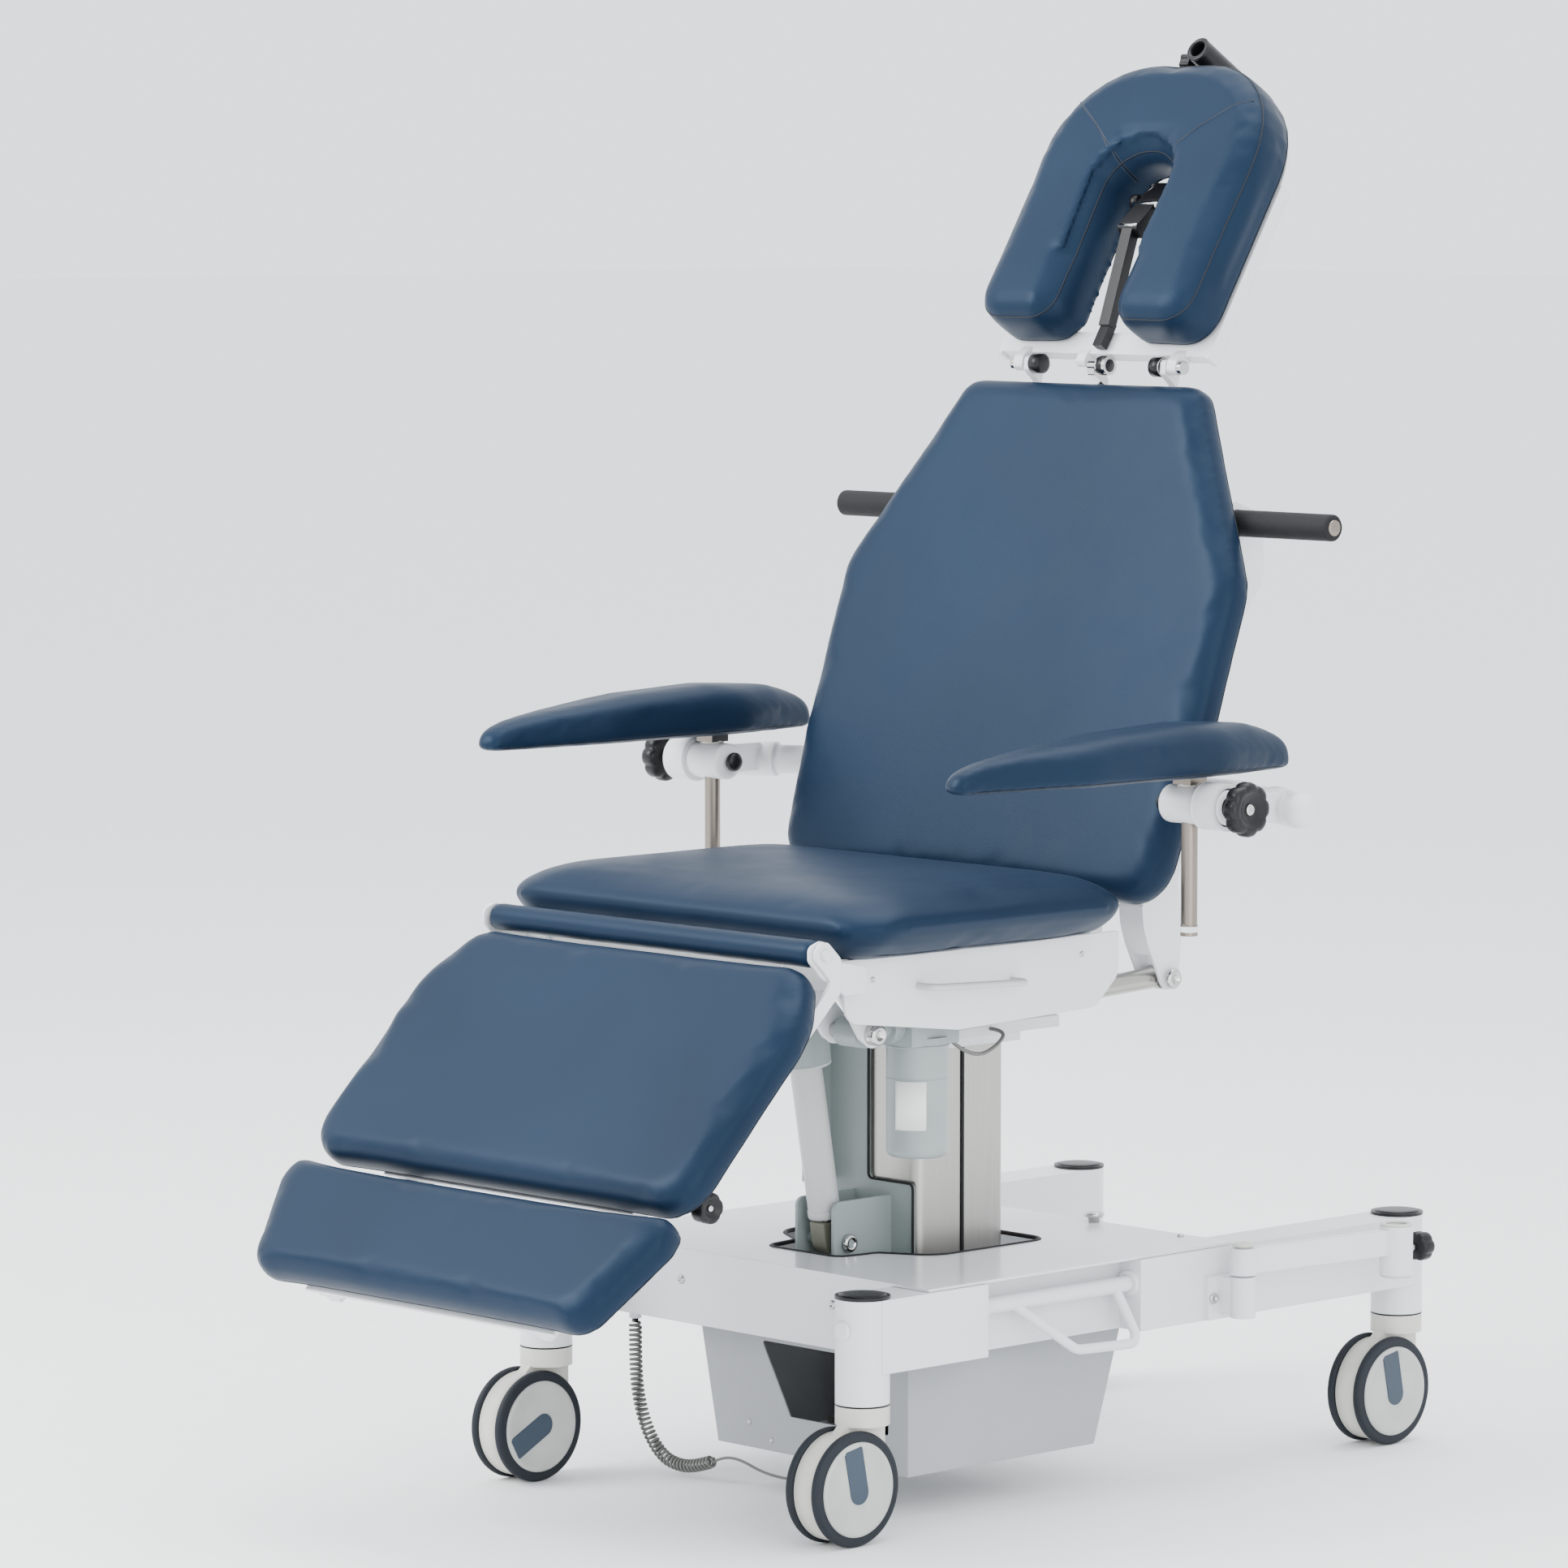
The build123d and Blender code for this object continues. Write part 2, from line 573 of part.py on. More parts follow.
def back_actuator_rod():
    def at(distance):
        return (ACT_X, *along(ACT_FRONT, BACK_BOLT, distance))
    rod = bar(at(165), at(462), 12)
    return rod + bar((ACT_X - 10, *BACK_BOLT), (ACT_X + 10, *BACK_BOLT), 13)


# ---- leg and foot sections ----
LEG_PAD = [(-261, -17), (261, -17), (308, -90), (308, -344), (-308, -344), (-308, -90)]
LEG_PAD_RADII = [44, 44, 120, 48, 48, 120]
FOOT_PAD = [(-305, -349), (305, -349), (311, -384), (268, -500), (-268, -500), (-311, -384)]
FOOT_PAD_RADII = [20, 20, 24, 40, 40, 24]
PAD_FRONT = 12.0
PAD_BACK = -28.0
KNOB_S = -302.0
KNOB_D = -46.0


def leg_block(x0, x1, s0, s1, d0, d1):
    return leg_plane.location * block(x0, x1, s0, s1, d0, d1)


def leg_frame():
    """Board, hinge arms, guides of the foot section and the actuator lever."""
    frame = leg_block(-200, 200, -335, -44, -32, PAD_BACK - GAP)
    frame += leg_block(-267, 267, -84, -62, -44, -30)
    for side in SIDES:
        x0, x1 = (262.4, 267) if side > 0 else (-267, -262.4)
        frame += leg_arm(x0, x1)
        for s in (-330, -190):
            frame += leg_block(side * 150, side * 190, s, s + 36, -56, -31)
    frame += leg_lever()
    for side in SIDES:
        frame -= leg_block(side * 159.4, side * 180.6, -345, -140, -50.6, -41.4)
        frame -= bar((side * 250, LEG_Y, LEG_Z), (side * 275, LEG_Y, LEG_Z), 6 + FIT)
    stud = knob_point()
    return frame - bar((178, *stud), (200, *stud), 4 + FIT)


def leg_arm(x0, x1):
    """Hinge arm outside the roll bracket, drawn in the side view."""
    down = Vector(0, -cos(radians(LEG_DROP)), -sin(radians(LEG_DROP)))
    under = Vector(0, sin(radians(LEG_DROP)), -cos(radians(LEG_DROP)))
    hinge = Vector(0, LEG_Y, LEG_Z)
    corners = []
    for s, d in ((-13, -13), (13, -13), (14, 25), (20, 29), (84, 29), (84, 44), (12, 46), (-13, 22)):
        point = hinge + down * s + under * d
        corners.append((point.Y, point.Z))
    return sheet_yz(corners, [11, 11, 4, 3, 4, 4, 14, 12], x0, x1)


def leg_lever():
    """Two lever plates on the actuator's side."""
    y, z = leg_lever_point()
    down = Vector(0, -cos(radians(LEG_DROP)), -sin(radians(LEG_DROP)))
    under = Vector(0, sin(radians(LEG_DROP)), -cos(radians(LEG_DROP)))
    hinge = Vector(0, LEG_Y, LEG_Z)
    root_near = hinge + down * 60 + under * 34
    root_far = hinge + down * 100 + under * 34
    lever = None
    for x0, x1 in ((-ACT_X - 15, -ACT_X - 10.5), (-ACT_X + 10.5, -ACT_X + 15)):
        plate = sheet_yz([(y + 12, z + 8), (y + 10, z - 12), (y - 12, z - 12),
                          (root_far.Y, root_far.Z), (root_near.Y, root_near.Z)],
                         [8, 8, 8, 0, 0], x0, x1)
        lever = plate if lever is None else lever + plate
    return lever


def knob_point():
    point = leg_plane.location * Pos(0, KNOB_S, KNOB_D)
    return point.position.Y, point.position.Z


def foot_knob():
    """Clamping knob of the foot section's slide."""
    y, z = knob_point()
    stud = bar((182, y, z), (268, y, z), 4)
    return stud + star_knob((264, y, z), (288, y, z), 17)


def foot_frame():
    """Board and two bars that slide under the leg section."""
    frame = leg_block(-200, 200, -494, -356, -32, PAD_BACK - GAP)
    for side in SIDES:
        frame += leg_block(side * 160, side * 180, -490, -150, -50, -42)
        frame += leg_block(side * 150, side * 190, -490, -360, -43, -31)
    return frame


# ---- back section ----
BACK_PAD = [(-182, -5), (182, -5), (314, -235), (314, -440), (300, -610),
            (-300, -610), (-314, -440), (-314, -235)]
BACK_PAD_RADII = [32, 32, 70, 200, 52, 52, 200, 70]
BACK_PAD_FRONT = 21.0
BACK_PAD_REAR = -19.0
PUSH_S, PUSH_D, PUSH_R = -156.0, -34.8, 15.0


def back_block(x0, x1, s0, s1, d0, d1):
    return back_frame_plane.location * block(x0, x1, s0, s1, d0, d1)


def back_point(s, d):
    """(Y, Z) of a point of the back's middle plane frame."""
    point = (back_frame_plane.location * Pos(0, s, d)).position
    return point.Y, point.Z


def back_frame():
    """Boards, two rails, hinge eyes, actuator lever, push-bar cheeks and armrest supports."""
    board = BACK_PAD_REAR - GAP
    frame = slab(back_frame_plane, [(-150, -30), (150, -30), (212, -136), (-212, -136)],
                 [20, 20, 4, 4], board - 3.5, board)
    frame += slab(back_frame_plane, [(-262, -190), (262, -190), (284, -250), (284, -440), (262, -585),
                                     (-262, -585), (-284, -440), (-284, -250)],
                  [10, 10, 40, 60, 40, 40, 60, 40], board - 3.5, board)
    for side in SIDES:
        rail = back_block(side * 124, side * 134, -622, -36, -76, -50.2)
        rail += back_block(side * 124, side * 134, -120, -50, -51, -22)
        rail += back_block(side * 124, side * 134, -560, -240, -51, -22)
        rail += bar((side * 120, BACK_Y, BACK_Z), (side * 150, BACK_Y, BACK_Z), 16)
        frame += rail
        frame += mirrored(push_cheek(), side)
        frame += mirrored(head_lug(), side)
        frame += mirrored(armrest_support(), side)
    frame += lever_channel()
    frame += back_block(-200, 200, -590, -580, -76, -50)
    frame += bar((-300, *SUPPORT), (300, *SUPPORT), 17)
    for side in SIDES:
        frame -= bar((side * 119, BACK_Y, BACK_Z), (side * 158, BACK_Y, BACK_Z), 8 + FIT)
        frame -= bar((side * 345, ARM_Y, CLAMP_Z), (side * 450, ARM_Y, CLAMP_Z), CLAMP_R + FIT)
    frame -= bar((-392, *back_point(PUSH_S, PUSH_D)), (392, *back_point(PUSH_S, PUSH_D)), PUSH_R + 0.05)
    return frame


SUPPORT = (112.0, 768.0)


def push_cheek():
    """Rounded side cheek behind the back that holds the push bar."""
    corners = [back_point(s, d) for s, d in
               ((-134, -22), (-134, -70), (-200, -98), (-262, -78), (-290, -22))]
    return sheet_yz(corners, [6, 20, 40, 20, 4], 236, 242)


def head_lug():
    """Upright lug beside the top of the back for the headrest hinge."""
    corners = [back_point(s, d) for s, d in
               ((-70, -24), (8, -24), (24, -10), (20, 4), (4, 0), (-4, -20), (-70, -20.5))]
    lug = sheet_yz(corners, [0, 6, 6, 6, 4, 4, 0], 103, 112)
    return lug - bar((100, *head_axis()), (116, *head_axis()), 5 + 0.05)


def armrest_support():
    """Tube from behind the back to the armrest clamp, with a domed housing and an eye."""
    inner = Vector(294, SUPPORT[0], SUPPORT[1])
    outer = Vector(462, 30, SUPPORT[1])
    reach = (outer - inner).normalized()
    tube = bar(tuple(inner), tuple(outer), 17)
    housing_start = outer - reach * 74
    housing = bar(tuple(housing_start), tuple(outer), 20.5)
    dome = Pos(*outer) * Sphere(20.5)
    eye = bar((404, ARM_Y, CLAMP_Z), (436, ARM_Y, CLAMP_Z), CLAMP_R + 5)
    link = block(404, 436, ARM_Y, 44, 756, 788)
    return tube + housing + dome + eye + link


def lever_channel():
    """Curved channel lever below the back hinge, with the bolt of the back actuator."""
    y, z = BACK_BOLT
    corners = [(58, 640), (60, 618), (68, 596), (80, 572), (y - 13, z - 4), (y - 6, z - 13),
               (y + 8, z - 12), (y + 16, z + 2), (y + 20, z + 50), (y + 14, z + 108), (128, 724),
               (92, 700)]
    channel = sheet_yz(corners, [0, 60, 80, 20, 8, 8, 8, 12, 60, 60, 4, 4], 164, 200)
    pocket = sheet_yz([(62, 640), (64, 619), (71, 600), (78, 586), (56, 580), (56, 530), (140, 530),
                       (140, 640), (100, 660)],
                      [0, 60, 80, 2, 0, 0, 0, 20, 10], 167.5, 196.5)
    channel -= pocket
    channel += bar((196.5, *BACK_BOLT), (206, *BACK_BOLT), 9)
    channel += bar((158, *BACK_BOLT), (167.5, *BACK_BOLT), 9)
    channel += block(130, 166, 62, 122, 694, 714)
    return channel


def push_bar():
    """Push handle across the back, in its foam grip."""
    grip = bar((-387, *back_point(PUSH_S, PUSH_D)), (387, *back_point(PUSH_S, PUSH_D)), PUSH_R)
    core = bar((-389, *back_point(PUSH_S, PUSH_D)), (389, *back_point(PUSH_S, PUSH_D)), 9)
    return grip + core


# ---- headrest ----
HEAD_PAD = [(44, 24), (171, 24), (171, 370), (-171, 370), (-171, 24), (-44, 24), (-44, 246), (44, 246)]
HEAD_PAD_RADII = [20, 40, 130, 130, 40, 20, 43, 43]
HEAD_FRONT, HEAD_REAR = 70.0, 2.0
HEAD_ANGLE = 58.0
HEAD_Y, HEAD_Z = back_point(13.4, -5)
# Headrest frame: origin on its hinge axis, x across, y up the pad, z out of the upholstery.
head_plane = Plane(
    origin=(0, HEAD_Y, HEAD_Z), x_dir=(1, 0, 0),
    z_dir=(0, -sin(radians(HEAD_ANGLE)), cos(radians(HEAD_ANGLE))))
HOLDER_S = 392.0


def head_point(s, d):
    """(Y, Z) of a point of the headrest's middle plane frame."""
    point = (head_plane.location * Pos(0, s, d)).position
    return point.Y, point.Z


def head_block(x0, x1, s0, s1, d0, d1):
    return head_plane.location * block(x0, x1, s0, s1, d0, d1)


def head_axis():
    return HEAD_Y, HEAD_Z


def headrest_frame():
    """White board behind the headrest, with a folded tray edge, side flanges and three hinge lugs."""
    board = [(54, 16), (164, 16), (164, 356), (-164, 356), (-164, 16), (-54, 16), (-54, 262), (54, 262)]
    frame = slab(head_plane, board, [4, 10, 122, 122, 10, 4, 40, 40], HEAD_REAR - 4, HEAD_REAR - GAP)
    frame += head_block(-166, 166, 14, 42, HEAD_REAR - 4, HEAD_REAR - GAP)
    frame += head_block(-160, 160, 14, 17, -13, HEAD_REAR - GAP)
    for side in SIDES:
        frame += head_block(side * 160, side * 166, 12, 240, -16, HEAD_REAR - GAP)
        corners = [head_point(s, d) for s, d in ((24, -12), (24, 0), (14, 6), (4, 10), (-8, 6), (-9, -5), (4, -10))]
        frame += mirrored(sheet_yz(corners, [1, 2, 5, 6, 6, 6, 6], 114, 128), side)
    corners = [head_point(s, d) for s, d in ((24, -10), (24, 0), (12, 5), (3, 5), (-2, -2), (4, -10))]
    frame += sheet_yz(corners, [1, 2, 4, 4, 4, 4], -34, -20)
    for side in SIDES:
        frame -= bar((side * 113, *head_axis()), (side * 130, *head_axis()), 5 + FIT)
    return frame


def head_hinge_pins():
    """Chrome pins with black lock knobs, and the ratchet lever in the middle."""
    pieces = []
    for side in SIDES:
        pin = bar((side * 92, *head_axis()), (side * 132, *head_axis()), 5)
        pin += bar((side * 88, *head_axis()), (side * 102.5, *head_axis()), 11)
        pin += bar((side * 128.5, *head_axis()), (side * 134, *head_axis()), 8)
        pieces.append(pin)
    lever = bar((-14, *head_axis()), (10, *head_axis()), 5)
    lever += bar((4, *head_axis()), (18, *head_axis()), 11)
    lever += sheet_yz([back_point(-60, -31), back_point(4, -31), back_point(16, -14), back_point(14, 0),
                       back_point(2, -6), back_point(-3, -25.6), back_point(-60, -25.6)],
                      [0, 8, 4, 4, 2, 2, 0], -14, -4)
    pieces.append(lever)
    return Compound(pieces)


def headrest_strut():
    """Black ratchet strut in the slot, with the bracket at its upper end."""
    strut = [(43, 17.5), (45, 5), (166, 32), (163, 45)]
    rail = sheet_yz([head_point(s, d) for s, d in strut], [1, 1, 1, 1], -8, 8)
    bracket = [(150, 29), (157, 46), (204, 30), (236, 14), (236, 4), (190, 4)]
    rail += sheet_yz([head_point(s, d) for s, d in bracket], [4, 5, 6, 3, 1, 4], -15, 15)
    rail += head_block(-7, 7, 18.2, 50, 4, 15)
    return rail


def headrest_rail():
    """Strut with its bracket, and the arm behind the headrest with the tube holder above."""
    rail = head_block(-10, 10, 222, 236, -17, 3.8)
    rail += head_block(-12, 12, 226, HOLDER_S - 6, -17, -5.3)
    rail += bar((0, *head_point(HOLDER_S, -17)), (0, *head_point(HOLDER_S, 51)), 15)
    rail += bar((-14, *head_point(HOLDER_S, 25)), (-40, *head_point(HOLDER_S, 25)), 4)
    rail += star_knob((-28, *head_point(HOLDER_S, 25)), (-42, *head_point(HOLDER_S, 25)), 11, 5)
    rail -= bar((0, *head_point(HOLDER_S, -20)), (0, *head_point(HOLDER_S, 54)), 10)
    return Compound([headrest_strut(), rail])


# ---- armrests ----
def armrest_clamp(side):
    """Turning clamp with a through bore for the post."""
    clamp = bar((351, ARM_Y, CLAMP_Z), (448, ARM_Y, CLAMP_Z), CLAMP_R)
    clamp += bar((339, ARM_Y, CLAMP_Z), (351, ARM_Y, CLAMP_Z), 8)
    clamp -= bar((ARM_X, ARM_Y, 740), (ARM_X, ARM_Y, 810), ARM_POST_R + FIT)
    clamp -= bar((430, ARM_Y, CLAMP_Z), (449, ARM_Y, CLAMP_Z), 6 + FIT)
    return mirrored(clamp, side)


def armrest_wheel(side):
    """Clamping handwheel at the outer end of the clamp."""
    wheel = bar((432, ARM_Y, CLAMP_Z), (458, ARM_Y, CLAMP_Z), 6)
    wheel += star_knob((454, ARM_Y, CLAMP_Z), (472, ARM_Y, CLAMP_Z), 31, 8)
    return mirrored(wheel, side)


def armrest_post(side):
    """Steel post with an end cap and the mounting block of the pad."""
    shaft = bar((ARM_X, ARM_Y, 636), (ARM_X, ARM_Y, 798), ARM_POST_R)
    shaft += bar((ARM_X, ARM_Y, 632), (ARM_X, ARM_Y, 644), ARM_POST_R + 0.6)
    shaft += block(ARM_X - 13, ARM_X + 13, ARM_Y - 13, ARM_Y + 13, 797, 806)
    return mirrored(shaft, side)


def armrest_pad(side):
    """Bean-shaped arm pad, thickest behind its middle and thin at both ends."""
    points = [(ARM_X - 24, -414), (ARM_X + 8, -418), (ARM_X + 48, -250), (ARM_X + 46, -40),
              (ARM_X + 16, 92), (ARM_X - 16, 92), (ARM_X - 46, -40), (ARM_X - 44, -250)]
    plan = outline(points, [14, 14, 120, 120, 15, 15, 120, 120])
    pad = Pos(0, 0, 806.3) * extrude(plan, 60)
    crown = Spline((-419, 828), (-330, 843), (-200, 857), (-80, 862), (20, 857), (93, 840))
    profile = make_face(crown + Polyline((93, 840), (93, 800), (-419, 800), (-419, 828)))
    dome = extrude(Plane.YZ.offset(ARM_X - 60) * profile, 120)
    return mirrored(pad & dome, side)


# ---- cords ----
CORD_X, CORD_Y, CORD_TOP = 216.0, -328.0, 172.0
CORD_R = 8.0
LEAD_END_X, LEAD_END_Y = 62.0, -300.0
CURLY = [(-216, -328, 172), (-216, -328, 130), (-213, -328, 88), (-198, -328, 48),
         (-172, -328, 20), (-142, -328, 13), (-112, -328, 17), (-84, -328, 27)]
LEAD = [(-83.6, -328, 27.1), (-64, -328, 34), (-40, -328, 33), (-12, -326, 24), (18, -321, 20),
        (46, -308, 19), (62, -300, 30), (62, -300, 45.9)]
CABLE = [(160, -239.9, 521), (160, -216, 521), (154, -184, 499), (145, -144, 486),
         (134, -106, 492), (122, -76, 506), (95.1, -76, 506)]


# ---- write everything ----
def build():
    save("side_beams", both(side_beam))
    save("chassis_frame", chassis_frame())
    corners = [(x, y) for x in (POST_X, -POST_X) for y in (-POST_Y, POST_Y)]
    save("caster_posts", Compound([post(x, y) for x, y in corners]))
    save("post_caps", Compound([post_cap(x, y) for x, y in corners]))
    save("base_cover", base_cover())
    save("lower_box", lower_box())
    save("control_unit", control_unit())
    save("column_inner", column_inner())
    save("lift_motor", lift_motor())
    names = {(POST_X, -POST_Y): "front_left", (POST_X, POST_Y): "rear_left",
             (-POST_X, -POST_Y): "front_right", (-POST_X, POST_Y): "rear_right"}
    for (x, y), name in names.items():
        save("caster_housing_" + name, caster_housing(x, y))
        save("caster_wheel_" + name, caster_wheel(x, y))
    save("swing_arm", swing_arm())
    save("arm_knob", arm_knob())
    save("column_middle", column_middle())
    save("column_outer", column_outer())
    save("column_bracket", column_bracket())
    save("column_head", column_head())
    save("tilt_rod", tilt_rod())
    save("tilt_tube", tilt_tube())
    save("seat_frame", seat_frame())
    save("side_panels", both(side_panel))
    save("side_handles", both(side_handle))
    save("leg_roll", leg_roll())
    save("seat_cushion", seat_cushion())
    save("pivot_bolts", pivot_bolts())
    save("leg_actuator_tube", leg_actuator_tube())
    save("leg_actuator_rod", leg_actuator_rod())
    save("back_actuator_tube", back_actuator_tube())
    save("back_actuator_rod", back_actuator_rod())
    save("leg_frame", leg_frame())
    save("leg_pad", slab(leg_plane, LEG_PAD, LEG_PAD_RADII, PAD_BACK, PAD_FRONT))
    save("foot_frame", foot_frame())
    save("foot_pad", slab(leg_plane, FOOT_PAD, FOOT_PAD_RADII, PAD_BACK, PAD_FRONT))
    save("foot_knob", foot_knob())
    save("back_frame", back_frame())
    save("back_pad", slab(back_frame_plane, BACK_PAD, BACK_PAD_RADII, BACK_PAD_REAR, BACK_PAD_FRONT))
    save("push_bar", push_bar())
    save("headrest_frame", headrest_frame())
    save("head_hinge_pins", head_hinge_pins())
    save("headrest_pad", slab(head_plane, HEAD_PAD, HEAD_PAD_RADII, HEAD_REAR, HEAD_FRONT))
    save("headrest_rail", headrest_rail())
    for side, name in ((1, "left"), (-1, "right")):
        save("brake_pedal_" + name, brake_pedal(side))
        save("armrest_clamp_" + name, armrest_clamp(side))
        save("armrest_wheel_" + name, armrest_wheel(side))
        save("armrest_post_" + name, armrest_post(side))
        save("armrest_pad_" + name, armrest_pad(side))
    save("curly_cord", cord("curly_cord", CURLY, CORD_R))
    save("cord_lead", cord("cord_lead", LEAD, 1.8))
    save("motor_cable", cord("motor_cable", CABLE, 2.2))


build()
os.makedirs("parts", exist_ok=True)
for name, shape in parts.items():
    export_step(Pos(0, Y_SHIFT, 0) * shape, "parts/" + name + ".step")
print(len(parts), "parts written")
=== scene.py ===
from math import atan2, cos, pi, radians, sin, tan

import bmesh
import bpy
from mathutils import Matrix, Vector


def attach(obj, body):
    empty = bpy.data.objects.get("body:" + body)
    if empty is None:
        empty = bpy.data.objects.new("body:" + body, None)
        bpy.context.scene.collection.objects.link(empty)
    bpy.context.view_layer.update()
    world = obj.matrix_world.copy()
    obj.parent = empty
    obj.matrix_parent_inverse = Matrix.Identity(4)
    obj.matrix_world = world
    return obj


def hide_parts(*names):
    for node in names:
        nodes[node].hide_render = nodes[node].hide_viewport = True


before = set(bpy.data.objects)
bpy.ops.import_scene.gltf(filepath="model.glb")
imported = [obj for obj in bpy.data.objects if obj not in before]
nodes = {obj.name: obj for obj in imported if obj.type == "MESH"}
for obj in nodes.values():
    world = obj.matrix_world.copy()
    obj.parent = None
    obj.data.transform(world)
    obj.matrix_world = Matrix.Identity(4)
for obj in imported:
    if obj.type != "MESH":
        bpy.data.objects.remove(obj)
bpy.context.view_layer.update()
scene = bpy.context.scene
SHIFT = 0.197              # metres from the middle of the wheelbase to the frame's origin
MM = 0.001                 # metres in one millimetre
SIDE, REAR, UP = Vector((1, 0, 0)), Vector((0, 1, 0)), Vector((0, 0, 1))
FRONT, DOWN = Vector((0, -1, 0)), Vector((0, 0, -1))
AXLE_Z, TRAIL = 62.5, 30   # mm: height of the caster axles and how far they stand in front of the posts
ARM_Y, ARM_Z = -57, 775    # mm: the axis that both armrests turn about


def at(x, y, z):
    """Point given in mm from the middle of the wheelbase, in metres of the frame."""
    return Vector((x * 0.001, y * 0.001 + SHIFT, z * 0.001))


# ---------------------------------------------------------------- camera
def make_camera():
    a, p = radians(46.4645), radians(5.2079)
    back = Vector((sin(a) * cos(p), -cos(a) * cos(p), sin(p)))
    data = bpy.data.cameras.new("camera")
    data.lens, data.sensor_width = 158.76, 36.0
    data.clip_start, data.clip_end = 0.1, 100.0
    cam = bpy.data.objects.new("camera", data)
    scene.collection.objects.link(cam)
    cam.location = at(5478.49, -5507.87, 1476.28)
    cam.rotation_mode = "QUATERNION"
    cam.rotation_quaternion = (-back).to_track_quat("-Z", "Y")
    scene.camera = cam


make_camera()


# ---------------------------------------------------------------- materials
def new_material(name, color, rough, metal=0.0, coat=0.0, bevel=0.0):
    m = bpy.data.materials.new(name)
    m.use_nodes = True
    nt = m.node_tree
    bsdf = nt.nodes["Principled BSDF"]
    bsdf.inputs["Base Color"].default_value = (*color, 1)
    bsdf.inputs["Roughness"].default_value = rough
    bsdf.inputs["Metallic"].default_value = metal
    bsdf.inputs["Coat Weight"].default_value = coat
    if max(color) < 0.03:
        bsdf.inputs["Specular IOR Level"].default_value = 0.28
    coords = nt.nodes.new("ShaderNodeTexCoord")
    if bevel:
        soft = nt.nodes.new("ShaderNodeBevel")
        soft.samples = 4
        soft.inputs["Radius"].default_value = bevel
        nt.links.new(soft.outputs["Normal"], bsdf.inputs["Normal"])
    return m, nt, bsdf, coords


def noise(nt, coords, scale, detail=4.0, rough=0.5, stretch=None):
    n = nt.nodes.new("ShaderNodeTexNoise")
    n.inputs["Scale"].default_value = scale
    n.inputs["Detail"].default_value = detail
    n.inputs["Roughness"].default_value = rough
    if stretch:
        mapping = nt.nodes.new("ShaderNodeMapping")
        mapping.inputs["Scale"].default_value = stretch
        nt.links.new(coords.outputs["Object"], mapping.inputs["Vector"])
        nt.links.new(mapping.outputs["Vector"], n.inputs["Vector"])
    else:
        nt.links.new(coords.outputs["Object"], n.inputs["Vector"])
    return n


def ramp(nt, source, low, high, a=0.3, b=0.7):
    r = nt.nodes.new("ShaderNodeValToRGB")
    r.color_ramp.elements[0].position, r.color_ramp.elements[1].position = a, b
    r.color_ramp.elements[0].color = (*low, 1)
    r.color_ramp.elements[1].color = (*high, 1)
    nt.links.new(source, r.inputs["Fac"])
    return r


def span(nt, source, low, high):
    r = nt.nodes.new("ShaderNodeMapRange")
    r.inputs["To Min"].default_value = low
    r.inputs["To Max"].default_value = high
    nt.links.new(source, r.inputs["Value"])
    return r


def bump(nt, bsdf, height, strength, distance):
    b = nt.nodes.new("ShaderNodeBump")
    b.inputs["Strength"].default_value = strength
    b.inputs["Distance"].default_value = distance
    nt.links.new(height, b.inputs["Height"])
    chained = bsdf.inputs["Normal"].links
    if chained:
        nt.links.new(chained[0].from_socket, b.inputs["Normal"])
    nt.links.new(b.outputs["Normal"], bsdf.inputs["Normal"])
    return b


def paint(name, color, rough, coat=0.0, bevel=0.0012, vary=0.05):
    """Powder coat: fine orange peel, cloudy tone and slightly duller patches."""
    m, nt, bsdf, co = new_material(name, color, rough, coat=coat, bevel=bevel)
    cloud = noise(nt, co, 6.0, 5.0)
    dark = tuple(c * (1 - vary) for c in color)
    light = tuple(min(1.0, c * (1 + vary * 0.5)) for c in color)
    nt.links.new(ramp(nt, cloud.outputs["Fac"], dark, light).outputs["Color"], bsdf.inputs["Base Color"])
    peel = noise(nt, co, 900.0, 2.0)
    nt.links.new(span(nt, cloud.outputs["Fac"], rough - 0.06, rough + 0.08).outputs["Result"],
                 bsdf.inputs["Roughness"])
    bump(nt, bsdf, peel.outputs["Fac"], 0.12, 0.0004)
    return m


def vinyl(name="vinyl"):
    """Navy upholstery vinyl: fine pebble grain, soft sheen and slow tone changes."""
    color = (0.0055, 0.0140, 0.0310)
    m, nt, bsdf, co = new_material(name, color, 0.42)
    bsdf.inputs["Specular IOR Level"].default_value = 0.16
    bsdf.inputs["Specular Tint"].default_value = (0.55, 0.75, 1.0, 1)
    bsdf.inputs["Sheen Weight"].default_value = 0.01
    bsdf.inputs["Sheen Roughness"].default_value = 0.4
    bsdf.inputs["Sheen Tint"].default_value = (0.45, 0.62, 0.85, 1)
    cloud = noise(nt, co, 3.5, 6.0, 0.55)
    tone = ramp(nt, cloud.outputs["Fac"], (0.0046, 0.0120, 0.0270), (0.0066, 0.0165, 0.0360))
    nt.links.new(tone.outputs["Color"], bsdf.inputs["Base Color"])
    rub = noise(nt, co, 14.0, 6.0, 0.6)
    nt.links.new(span(nt, rub.outputs["Fac"], 0.34, 0.50).outputs["Result"], bsdf.inputs["Roughness"])
    cells = nt.nodes.new("ShaderNodeTexVoronoi")
    cells.feature = "SMOOTH_F1"
    cells.inputs["Scale"].default_value = 760.0
    nt.links.new(co.outputs["Object"], cells.inputs["Vector"])
    bump(nt, bsdf, cells.outputs["Distance"], 0.16, 0.0005)
    wrinkle = noise(nt, co, 26.0, 3.0, 0.45)
    bump(nt, bsdf, wrinkle.outputs["Fac"], 0.05, 0.004)
    return m


